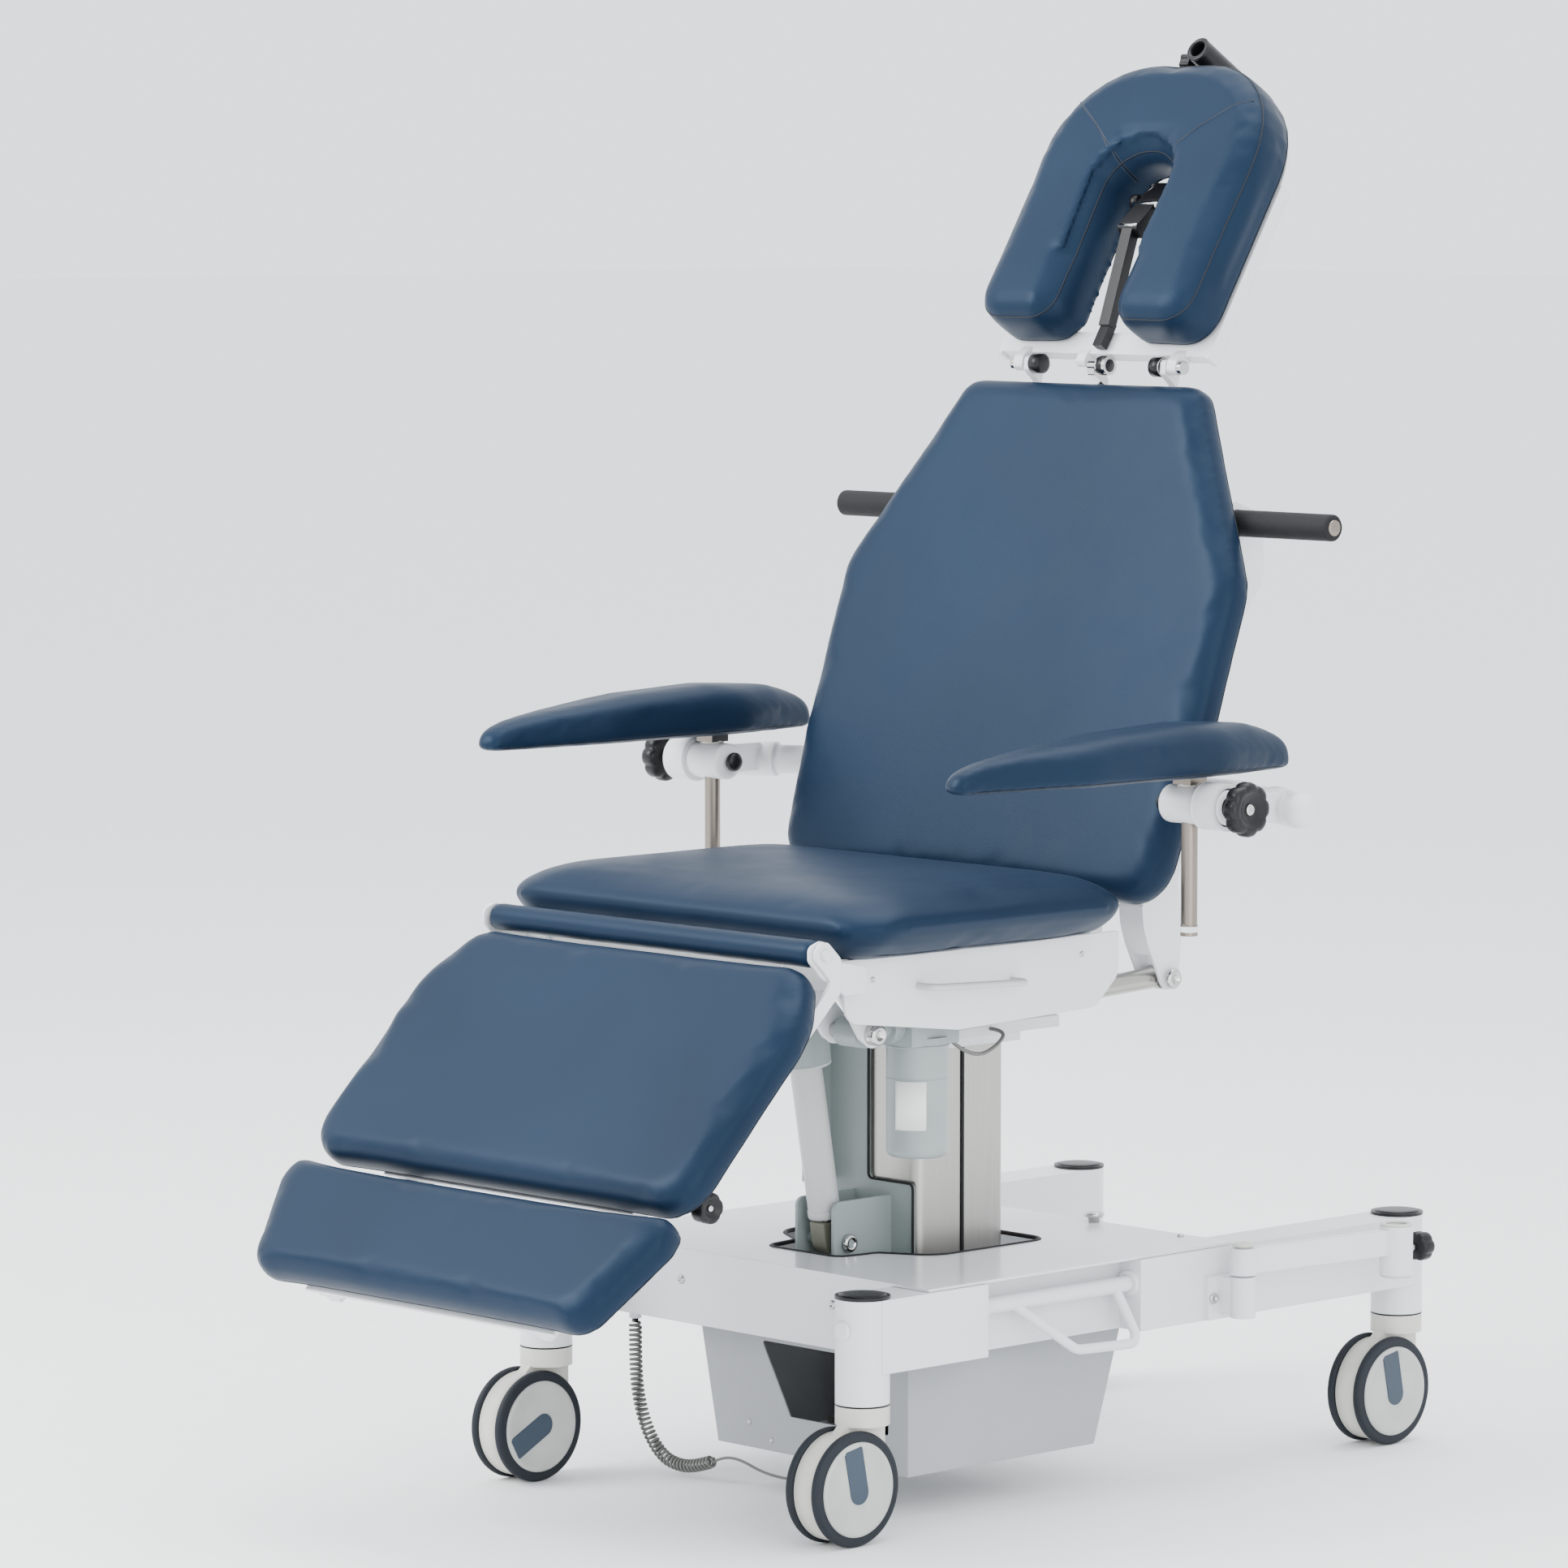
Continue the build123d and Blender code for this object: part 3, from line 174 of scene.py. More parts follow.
def brushed(name, color, rough, stretch, depth=0.10, bevel=0.001):
    """Brushed metal: long fine scratches along one direction."""
    m, nt, bsdf, co = new_material(name, color, rough, metal=1.0, bevel=bevel)
    lines = noise(nt, co, 60.0, 8.0, 0.65, stretch)
    low = tuple(c * 0.86 for c in color)
    nt.links.new(ramp(nt, lines.outputs["Fac"], low, color).outputs["Color"], bsdf.inputs["Base Color"])
    nt.links.new(span(nt, lines.outputs["Fac"], rough - 0.08, rough + 0.12).outputs["Result"],
                 bsdf.inputs["Roughness"])
    bump(nt, bsdf, lines.outputs["Fac"], depth, 0.0004)
    return m


def plastic(name, color, rough, grain=420.0, depth=0.12, bevel=0.0008, vary=0.10):
    """Moulded plastic: fine texture and a little uneven gloss."""
    m, nt, bsdf, co = new_material(name, color, rough, bevel=bevel)
    mottle = noise(nt, co, 18.0, 4.0)
    low = tuple(c * (1 - vary) for c in color)
    high = tuple(min(1.0, c * (1 + vary)) for c in color)
    nt.links.new(ramp(nt, mottle.outputs["Fac"], low, high).outputs["Color"], bsdf.inputs["Base Color"])
    nt.links.new(span(nt, mottle.outputs["Fac"], rough - 0.05, rough + 0.08).outputs["Result"],
                 bsdf.inputs["Roughness"])
    texture = noise(nt, co, grain, 3.0)
    bump(nt, bsdf, texture.outputs["Fac"], depth, 0.0004)
    return m


def foam(name, color):
    """Closed-cell foam sleeve of the push bar."""
    m, nt, bsdf, co = new_material(name, color, 0.72)
    cells = nt.nodes.new("ShaderNodeTexVoronoi")
    cells.inputs["Scale"].default_value = 520.0
    nt.links.new(co.outputs["Object"], cells.inputs["Vector"])
    low = tuple(c * 0.7 for c in color)
    nt.links.new(ramp(nt, cells.outputs["Distance"], low, color, 0.1, 0.6).outputs["Color"],
                 bsdf.inputs["Base Color"])
    bump(nt, bsdf, cells.outputs["Distance"], 0.35, 0.0008)
    return m


VINYL = vinyl()
SEAM = plastic("seam_vinyl", (0.0025, 0.006, 0.013), 0.5, 700.0, 0.3, 0.0)
THREAD = plastic("thread", (0.012, 0.027, 0.055), 0.6, 1500.0, 0.4, 0.0)
WHITE = paint("white_coat", (0.70, 0.715, 0.73), 0.36)
WHITE_GLOSS = paint("white_gloss", (0.70, 0.715, 0.73), 0.22, coat=0.2)
GREY_GREEN = paint("grey_green_coat", (0.27, 0.315, 0.31), 0.42, vary=0.07)
BOX_GREY = paint("box_grey_coat", (0.33, 0.345, 0.355), 0.5, vary=0.06)
COLUMN = brushed("column_aluminium", (0.46, 0.445, 0.42), 0.36, (6.0, 6.0, 0.12), 0.08)
STEEL = brushed("brushed_steel", (0.27, 0.235, 0.20), 0.30, (3.0, 3.0, 0.3), 0.12)
ROD = brushed("rod_steel", (0.40, 0.385, 0.36), 0.24, (3.0, 0.2, 3.0), 0.06)
TUBE = paint("tube_white", (0.52, 0.53, 0.525), 0.30)
CHROME = brushed("chrome", (0.58, 0.57, 0.56), 0.12, (1.0, 1.0, 1.0), 0.02)
BLACK = plastic("black_plastic", (0.006, 0.006, 0.007), 0.34)
# black for the lines round the cover's cut-out and along the bracket's edge, and painted shade in the
# column's side grooves
DARK_LINES_AND_SHADE = plastic("dark_lines_and_groove_shade", (0.007, 0.007, 0.008), 0.6, 300.0, 0.2)
OLIVE = plastic("rod_end", (0.17, 0.17, 0.13), 0.5)
MOTOR = plastic("motor_grey", (0.25, 0.285, 0.285), 0.40)
LABEL = plastic("blank_label", (0.78, 0.78, 0.76), 0.5, 900.0, 0.05, 0.0, 0.03)
CREAM = plastic("caster_cream", (0.56, 0.55, 0.50), 0.42)
DISC = plastic("wheel_disc", (0.42, 0.425, 0.41), 0.38)
SLATE = plastic("slate_insert", (0.022, 0.038, 0.060), 0.5)
TYRE = plastic("tyre", (0.010, 0.013, 0.018), 0.62, 260.0, 0.3)
FOAM = foam("foam_grip", (0.008, 0.008, 0.009))
CORD = plastic("cord_grey", (0.13, 0.13, 0.12), 0.55, 900.0, 0.1, 0.0)
FLOOR = plastic("floor", (0.93, 0.935, 0.94), 0.7, 3.0, 0.0, 0.0, 0.01)

node_materials = {
    WHITE: ["side_beams", "chassis_frame", "caster_posts", "column_head", "seat_frame", "side_panels",
            "leg_frame", "foot_frame", "back_frame", "headrest_frame", "swing_arm", "brake_pedal_left",
            "brake_pedal_right"],
    WHITE_GLOSS: ["base_cover"],
    GREY_GREEN: ["column_bracket"],
    BOX_GREY: ["lower_box"],
    BLACK: ["post_caps", "control_unit", "headrest_rail"],
    COLUMN: ["column_inner", "column_middle", "column_outer"],
    STEEL: ["armrest_post_left", "armrest_post_right"],
    ROD: ["tilt_rod", "leg_actuator_rod", "back_actuator_rod"],
    MOTOR: ["lift_motor", "leg_actuator_tube", "back_actuator_tube"],
    CHROME: ["pivot_bolts", "head_hinge_pins"],
    TUBE: ["side_handles", "tilt_tube"],
    CREAM: ["caster_housing_front_left", "caster_housing_front_right", "caster_housing_rear_left",
            "caster_housing_rear_right"],
}
for material, names in node_materials.items():
    for name in names:
        mesh = nodes[name].data
        mesh.materials.clear()
        mesh.materials.append(material)


# ---------------------------------------------------------------- mesh helpers
def link(name, mesh, material, smooth=True):
    obj = bpy.data.objects.new(name, mesh)
    scene.collection.objects.link(obj)
    mesh.materials.append(material)
    if smooth:
        mesh.polygons.foreach_set("use_smooth", [True] * len(mesh.polygons))
    return obj


def mesh_from(bm, name):
    mesh = bpy.data.meshes.new(name)
    bm.normal_update()
    bm.to_mesh(mesh)
    bm.free()
    return mesh


def soften(obj, width):
    """Small round on every edge sharper than 35 degrees."""
    mod = obj.modifiers.new("edge", "BEVEL")
    mod.width, mod.segments = width, 3
    mod.limit_method, mod.angle_limit = "ANGLE", radians(35)


def skin(bm, rings):
    """Faces between rings with the same number of points."""
    for low, high in zip(rings, rings[1:]):
        for i in range(len(low)):
            j = (i + 1) % len(low)
            bm.faces.new((low[i], low[j], high[j], high[i]))


def placed(bm, matrix):
    """Moves a form from its local frame to its place, with its faces outwards."""
    bmesh.ops.transform(bm, matrix=matrix, verts=bm.verts)
    bmesh.ops.recalc_face_normals(bm, faces=bm.faces)


def turned_to(axis):
    return axis.normalized().to_track_quat("Z", "Y").to_matrix().to_4x4()


def lathe(name, profile, origin, axis, material, body, sides=48, edge=0.0):
    """Turned piece: profile of (distance along axis, radius) in mm, closed at both ends or round a bore."""
    bm = bmesh.new()
    hollow = profile[0] == profile[-1]
    rings = []
    for d, r in profile[:-1] if hollow else profile:
        ring = []
        for i in range(sides):
            a = 2 * pi * i / sides
            ring.append(bm.verts.new((r * cos(a) * MM, r * sin(a) * MM, d * MM)))
        rings.append(ring)
    skin(bm, rings + rings[:1] if hollow else rings)
    if not hollow:
        bm.faces.new(list(reversed(rings[0])))
        bm.faces.new(rings[-1])
    placed(bm, Matrix.Translation(origin) @ turned_to(axis))
    obj = link(name, mesh_from(bm, name), material)
    if edge:
        soften(obj, edge * MM)
    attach(obj, body)
    return obj


def rounded(points, radii, step=8):
    """Closed 2D outline with corner arcs, in the units given."""
    out = []
    count = len(points)
    for i in range(count):
        p0, p1, p2 = Vector(points[i - 1]), Vector(points[i]), Vector(points[(i + 1) % count])
        u, v = (p0 - p1).normalized(), (p2 - p1).normalized()
        half = u.angle(v) / 2
        r = radii[i]
        if r < 0.01 or abs(half - pi / 2) < 0.002:
            out.append(p1)
            continue
        reach = r / tan(half)
        start, end = p1 + u * reach, p1 + v * reach
        centre = p1 + (u + v).normalized() * (r / sin(half))
        a0 = atan2(start.y - centre.y, start.x - centre.x)
        a1 = atan2(end.y - centre.y, end.x - centre.x)
        turn = (a1 - a0 + pi) % (2 * pi) - pi
        for k in range(step + 1):
            a = a0 + turn * k / step
            out.append(centre + Vector((cos(a), sin(a))) * r)
    return out


def resample(outline, spacing):
    """Points at an even spacing along a closed outline."""
    out = []
    for a, b in zip(outline, outline[1:] + outline[:1]):
        length = (b - a).length
        if length < 1e-6:
            continue
        steps = max(1, round(length / spacing))
        out += [a.lerp(b, k / steps) for k in range(steps)]
    return out


def prism(name, outline, matrix, d0, d1, material, body, edge):
    """Solid plate from an outline (mm) in a local frame, between two depths (mm)."""
    bm = bmesh.new()
    low = [bm.verts.new((p.x * MM, p.y * MM, d0 * MM)) for p in outline]
    high = [bm.verts.new((p.x * MM, p.y * MM, d1 * MM)) for p in outline]
    bm.faces.new(low)
    bm.faces.new(high)
    skin(bm, [low, high])
    placed(bm, matrix)
    obj = link(name, mesh_from(bm, name), material, smooth=False)
    soften(obj, edge * MM)
    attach(obj, body)


def basis(origin, x_dir, y_dir, z_dir):
    """Local frame with these axes at this origin."""
    m = Matrix((x_dir, y_dir, z_dir)).transposed().to_4x4()
    m.translation = origin
    return m


def leaned(origin, degrees):
    """Local frame of a section: x across, y along it and z out of its padded face."""
    a = radians(degrees)
    return basis(origin, SIDE, Vector((0, cos(a), sin(a))), Vector((0, -sin(a), cos(a))))


def local(matrix, x, y, z):
    """Point given in mm in a local frame, in metres of the frame."""
    return matrix @ Vector((x * MM, y * MM, z * MM))


BACK = leaned(at(0, 183, 1225), 70.7)
LEG = leaned(at(0, -497, 636), 45.7)
HEAD = leaned(at(0, 192.148, 1235.994), 58.0)
FLAT = basis(at(0, 0, 0), SIDE, REAR, UP)


def tube(name, points, radius, material, body=None, closed=False, sides=5):
    """Round wire or piping along a smooth curve through control points, in metres."""
    data = bpy.data.curves.new(name, "CURVE")
    data.dimensions = "3D"
    spline = data.splines.new("NURBS")
    spline.points.add(len(points) - 1)
    for point, place in zip(spline.points, points):
        point.co = (*place, 1)
    spline.order_u = 3
    spline.use_endpoint_u = not closed
    spline.use_cyclic_u = closed
    spline.resolution_u = 6
    data.bevel_depth = radius
    data.bevel_resolution = sides
    data.use_fill_caps = not closed
    data.materials.append(material)
    obj = bpy.data.objects.new(name, data)
    scene.collection.objects.link(obj)
    if body:
        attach(obj, body)
    return obj


# ---------------------------------------------------------------- cords
CURLY = [(-216, -328, 172), (-216, -328, 130), (-213, -328, 88), (-198, -328, 48),
         (-172, -328, 20), (-142, -328, 13), (-112, -328, 17), (-84, -328, 27)]
LEAD = [(-83.6, -328, 27.1), (-64, -328, 34), (-40, -328, 33), (-12, -326, 24), (18, -321, 20),
        (46, -308, 19), (62, -300, 30), (62, -300, 45.9)]
CABLE = [(160, -239.9, 521), (160, -216, 521), (154, -184, 499), (145, -144, 486),
         (134, -106, 492), (122, -76, 506), (95.1, -76, 506)]


def route_from(obj):
    """The smooth line of a cord, read from its curve without its thickness."""
    keep, obj.data.bevel_depth = obj.data.bevel_depth, 0.0
    caps, obj.data.use_fill_caps = obj.data.use_fill_caps, False
    dg = bpy.context.evaluated_depsgraph_get()
    mesh = bpy.data.meshes.new_from_object(obj.evaluated_get(dg))
    obj.data.bevel_depth, obj.data.use_fill_caps = keep, caps
    return [v.co.copy() for v in mesh.vertices]


def route_points(points):
    """The smooth line of a route given by control points in mm."""
    obj = tube("route", [at(*p) for p in points], 0.0, CORD)
    obj.data.splines[0].resolution_u = 24
    out, data = route_from(obj), obj.data
    bpy.data.objects.remove(obj)
    bpy.data.curves.remove(data)
    return out


def length_of(points):
    return sum((b - a).length for a, b in zip(points, points[1:]))


def walk(points, count):
    """Evenly spaced points and directions along a polyline."""
    total = length_of(points)
    out, gone, k = [], 0.0, 0
    for i in range(count):
        target = total * i / (count - 1)
        while k < len(points) - 2 and gone + (points[k + 1] - points[k]).length < target:
            gone += (points[k + 1] - points[k]).length
            k += 1
        a, b = points[k], points[k + 1]
        t = min(1.0, (target - gone) / max((b - a).length, 1e-9))
        out.append((a.lerp(b, t), (b - a).normalized()))
    return out


def curly_cord():
    """Coiled hand-control cord: a straight tail, the helix, and the lead to the box."""
    turns, per = 46, 12              # turns of the coil and control points in each
    wire, radius = 0.0016, 0.0063    # half the wire's thickness, and the coil's middle radius
    taper = 0.03                     # share of the run over which the coil opens and closes
    points = []
    for i, (place, ahead) in enumerate(walk(route_points(CURLY), turns * per + 1)):
        up = ahead.cross(REAR).normalized()
        share = i / (turns * per)
        grow = min(1.0, share / taper, (1 - share) / taper)
        a = 2 * pi * i / per
        points.append(place + (REAR * cos(a) + up * sin(a)) * radius * grow)
    points += [at(*p) for p in LEAD[1:]]
    cord = tube("curly_cord_wire", points, wire, CORD, "base", sides=4)
    cord.data.splines[0].resolution_u = 3
    drawn = route_from(cord)
    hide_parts("curly_cord", "cord_lead")
    lathe("coil_gland", [(0, 5.0), (3, 5.6), (9, 5.0), (16, 2.6)], at(-216, -328, 183.2),
          DOWN, BLACK, "base", 24)
    lathe("box_gland", [(0, 5.0), (5, 5.0), (7, 3.4), (12, 2.2)], at(62, -300, 50),
          DOWN, BLACK, "base", 24)


def motor_cable():
    points = [at(*p) for p in CABLE]
    cable = tube("motor_cable_flex", points, 0.0022, CORD, "seat", sides=4)
    drawn = route_from(cable)
    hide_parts("motor_cable")


curly_cord()
motor_cable()


# ---------------------------------------------------------------- upholstery
def remesh_and_fill(obj, voxel, cap):
    """Voxel remesh, a short pressure simulation, and a cap on how far each point may move."""
    mod = obj.modifiers.new("voxels", "REMESH")
    mod.mode, mod.voxel_size = "VOXEL", voxel
    dg = bpy.context.evaluated_depsgraph_get()
    mesh = bpy.data.meshes.new_from_object(obj.evaluated_get(dg))
    obj.modifiers.clear()
    obj.data = mesh
    mesh.materials.clear()
    mesh.materials.append(VINYL)
    before = [v.co.copy() for v in mesh.vertices]
    cloth = obj.modifiers.new("cloth", "CLOTH")
    settings = cloth.settings
    settings.quality = 5
    settings.mass = 0.3
    settings.tension_stiffness = settings.compression_stiffness = 18
    settings.shear_stiffness = 8
    settings.bending_stiffness = 4
    settings.use_pressure = True
    settings.uniform_pressure_force = 4.0
    settings.effector_weights.gravity = 0
    cloth.collision_settings.use_collision = False
    cloth.point_cache.frame_start, cloth.point_cache.frame_end = 1, 20
    for f in range(1, 21):
        scene.frame_set(f)
    dg = bpy.context.evaluated_depsgraph_get()
    after = obj.evaluated_get(dg).to_mesh()
    moved = [v.co.copy() for v in after.vertices]
    obj.evaluated_get(dg).to_mesh_clear()
    obj.modifiers.clear()
    scene.frame_set(1)
    centre = sum(before, Vector()) / len(before)
    drift = sum(moved, Vector()) / len(moved) - centre
    for v, a, b in zip(mesh.vertices, before, moved):
        step = b - drift - a
        if step.length > cap:
            step *= cap / step.length
        v.co = a + step
    bm = bmesh.new()
    bm.from_mesh(mesh)
    for _ in range(2):
        bmesh.ops.smooth_vert(bm, verts=bm.verts, factor=0.5, use_axis_x=True, use_axis_y=True,
                              use_axis_z=True)
    bm.to_mesh(mesh)
    bm.free()
    mesh.polygons.foreach_set("use_smooth", [True] * len(mesh.polygons))
    mod = obj.modifiers.new("subdivision", "SUBSURF")
    mod.levels = mod.render_levels = 1


def stack(name, rings, matrix):
    """Closed vinyl form lofted through rings with the same number of points (mm, local frame)."""
    bm = bmesh.new()
    rows = [[bm.verts.new((p.x * MM, p.y * MM, d * MM)) for p in ring] for ring, d in rings]
    skin(bm, rows)
    for ring in (rows[0], rows[-1]):
        face = bm.faces.new(ring)
        bmesh.ops.triangulate(bm, faces=[face])
    placed(bm, matrix)
    return link(name, mesh_from(bm, name), VINYL)


def inset_ring(outline, amount):
    """The outline moved inwards by amount, point by point."""
    count = len(outline)
    area = sum(outline[i - 1].cross(outline[i]) for i in range(count))
    sign = 1 if area > 0 else -1
    out = []
    for i in range(count):
        t = (outline[(i + 1) % count] - outline[i - 1]).normalized()
        out.append(outline[i] + Vector((-t.y, t.x)) * sign * amount)
    return out


def pad_rings(outline, front, back):
    """Rings of a padded board: rounded rims at both faces and a crowned front."""
    edge, crown, steps, inset = 17, 2.0, 5, 0.5
    rings = []
    for k in range(steps + 1):
        a = pi / 2 * k / steps
        rings.append((inset_ring(outline, inset + edge * 0.7 * (1 - sin(a))),
                      back + edge * 0.7 * (1 - cos(a))))
    for k in range(steps + 1):
        a = pi / 2 * k / steps
        rings.append((inset_ring(outline, inset + edge * (1 - cos(a))), front - edge * (1 - sin(a)) - crown))
    return rings


def upholstered(name, node, body, outline, matrix, front, back, cap):
    """Flat pad between two depths (mm); the filling may move its skin by cap."""
    even = resample(rounded(*outline), 9.0)
    obj = stack(name, pad_rings(even, front, back), matrix)
    remesh_and_fill(obj, 0.006, cap * MM)
    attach(obj, body)
    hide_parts(node)
    return obj


def cling(obj, points, lift=0.0):
    """The nearest places on a pad's finished surface, raised a little along its normal."""
    seen = obj.evaluated_get(bpy.context.evaluated_depsgraph_get())
    inverse = seen.matrix_world.inverted()
    out = []
    for p in points:
        hit, place, normal, _ = seen.closest_point_on_mesh(inverse @ p)
        if hit:
            out.append(seen.matrix_world @ (place + normal * lift))
    return out


def rim_seam(name, pad, outline, matrix, depth, body):
    """Fine seam that follows a pad's rim at one depth."""
    ring = resample(rounded(*outline), 12.0)
    flat = [local(matrix, p.x, p.y, depth) for p in ring]
    tube(name, cling(pad, flat), 0.0008, SEAM, body, closed=True, sides=2)


BACK_PAD = ([(-182, -5), (182, -5), (314, -235), (314, -440), (300, -610), (-300, -610), (-314, -440),
             (-314, -235)], [32, 32, 70, 200, 52, 52, 200, 70])
LEG_PAD = ([(-261, -17), (261, -17), (308, -90), (308, -344), (-308, -344), (-308, -90)],
           [44, 44, 120, 48, 48, 120])
FOOT_PAD = ([(-305, -349), (305, -349), (311, -384), (268, -500), (-268, -500), (-311, -384)],
            [20, 20, 24, 40, 40, 24])

back_pad = upholstered("back_pad_vinyl", "back_pad", "back", BACK_PAD, BACK, 23, -19, 6.0)
leg_pad = upholstered("leg_pad_vinyl", "leg_pad", "leg", LEG_PAD, LEG, 14, -28, 5.0)
foot_pad = upholstered("foot_pad_vinyl", "foot_pad", "foot", FOOT_PAD, LEG, 14, -28, 5.0)
rim_seam("back_pad_welt", back_pad, BACK_PAD, BACK, -16, "back")
rim_seam("leg_pad_welt", leg_pad, LEG_PAD, LEG, -25, "leg")
rim_seam("foot_pad_welt", foot_pad, FOOT_PAD, LEG, -25, "foot")


def seat_cushion():
    """Cushion with a tapered underside, full sides and a crowned top."""
    def ring(half, front, rear, corner_f, corner_r):
        return resample_count(rounded([(half, rear), (half, front), (-half, front), (-half, rear)],
                                      [corner_r, corner_f, corner_f, corner_r], 10), 220)
    rings = [
        (ring(244, -450, ARM_Y, 30, 18), 625.4), (ring(264, -456, -57.5, 36, 20), 631),
        (ring(283, -463, -57.5, 44, 24), 642), (ring(296, -468, -57.5, 52, 28), 652),
        (ring(300, -470, -58, 58, 30), 660), (ring(298, -468, -59, 62, 32), 667),
        (ring(291, -461, -64, 64, 34), 674), (ring(277, -447, -73, 62, 36), 680.5),
        (ring(255, -424, -88, 60, 36), 686), (ring(222, -390, -112, 58, 34), 690),
        (ring(178, -345, -150, 50, 30), 692.5), (ring(120, -290, -200, 40, 24), 693.5)]
    obj = stack("seat_cushion_vinyl", rings, FLAT)
    remesh_and_fill(obj, 0.006, 0.004)
    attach(obj, "seat")
    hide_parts("seat_cushion")
    edge = [at(p.x, p.y, 629) for p in ring(258, -455, -58, 34, 20)[::3]]
    tube("seat_cushion_welt", cling(obj, edge), 0.0009, SEAM, "seat", closed=True, sides=2)


def resample_count(outline, count):
    """The same closed outline as a fixed number of evenly spaced points."""
    return [place for place, _ in walk(outline + outline[:1], count + 1)[:-1]]


seat_cushion()


def leg_roll():
    """Small vinyl roll between seat and leg section, with gathered ends."""
    profile = [(0, 6.2), (1.5, 11), (5, 14.2), (12, 14.9)]
    for i in range(1, 24):
        profile.append((12 + 490 * i / 24, 14.9 - 0.25 * (i % 2)))
    profile += [(502, 14.9), (509, 14.2), (512.5, 11), (514, 6.2)]
    obj = lathe("leg_roll_vinyl", profile, at(-257, -497, 636), SIDE, VINYL, "seat", 40)
    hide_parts("leg_roll")


leg_roll()

HEAD_PAD = ([(44, 24), (171, 24), (171, 370), (-171, 370), (-171, 24), (-44, 24), (-44, 246), (44, 246)],
            [34, 40, 130, 130, 40, 34, 43, 43])


def headrest_pad():
    """Thick horseshoe pad: straight sides, a seam round the front edge and domed panels."""
    even = resample(rounded(*HEAD_PAD), 6.0)
    fold = []
    for p in even:
        inner = 0.0 if p.y > 300 else min(1.0, max(0.0, (78 - abs(p.x)) / 34))
        fold.append(inner * inner * (3 - 2 * inner))

    def ring(outer, slot):
        near, far = inset_ring(even, outer), inset_ring(even, slot)
        return [a.lerp(b, f) for a, b, f in zip(near, far, fold)]
    rings = [(ring(5, 5), 2.2), (ring(3, 3), 2.8), (ring(1.6, 1.6), 4.4), (ring(1, 1), 6.5),
             (ring(0.6, 0.6), 16), (ring(0.4, 0.4), 28), (ring(0.6, 1.4), 38), (ring(1.2, 5), 48),
             (ring(3, 10), 56), (ring(7.5, 17), 63), (ring(14, 24), 67.5), (ring(21, 29), 70),
             (ring(28, 33), 71.3)]
    obj = stack("headrest_pad_vinyl", rings, HEAD)
    remesh_and_fill(obj, 0.0042, 0.004)
    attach(obj, "head")
    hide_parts("headrest_pad")
    return obj


head_pad = headrest_pad()


def bowed(points, count=40):
    """Smooth flat line through a few points."""
    knots = [Vector(p) for p in points]
    out = []
    for i in range(len(knots) - 1):
        p0, p1, p2 = knots[max(i - 1, 0)], knots[i], knots[i + 1]
        p3 = knots[min(i + 2, len(knots) - 1)]
        for k in range(count // (len(knots) - 1)):
            t = k * (len(knots) - 1) / count
            out.append(0.5 * (2 * p1 + (p2 - p0) * t + (2 * p0 - 5 * p1 + 4 * p2 - p3) * t * t
                              + (3 * p1 - p0 - 3 * p2 + p3) * t * t * t))
    out.append(knots[-1])
    return out


def headrest_seams():
    """Seams of the headrest pad: round its front edge, round its back and over both shoulders."""
    ring = resample(rounded(*HEAD_PAD), 8.0)
    for name, depth, lift in (("headrest_rim_seam", 59, 0.0001), ("headrest_rear_welt", 4.5, 0.0)):
        flat = [local(HEAD, p.x, p.y, depth) for p in ring]
        tube(name, cling(head_pad, flat, lift), 0.0010, SEAM, "head", closed=True, sides=2)
    for side, name in ((1, "left"), (-1, "right")):
        rows = [(0.0, 0.0009, SEAM), (3.2, 0.0005, THREAD)]
        if side < 0:
            rows.append((-3.2, 0.0005, THREAD))
        for k, (o, radius, material) in enumerate(rows):
            line = [(143 - o, 318 - o), (114 - o, 298 - o), (84 - o, 276 - o), (62 - o * 0.6, 257 - o),
                    (48, 243 - o), (43, 236 - o)]
            flat = bowed([(side * x, y) for x, y in line])
            count = len(flat) - 1
            space = [local(HEAD, p.x, p.y, 74 - 50 * max(0, i / count - 0.62) / 0.38)
                     for i, p in enumerate(flat)]
            tube(f"headrest_panel_seam_{name}_{k}", cling(head_pad, space, 0.0001), radius, material,
                 "head", sides=2)


headrest_seams()


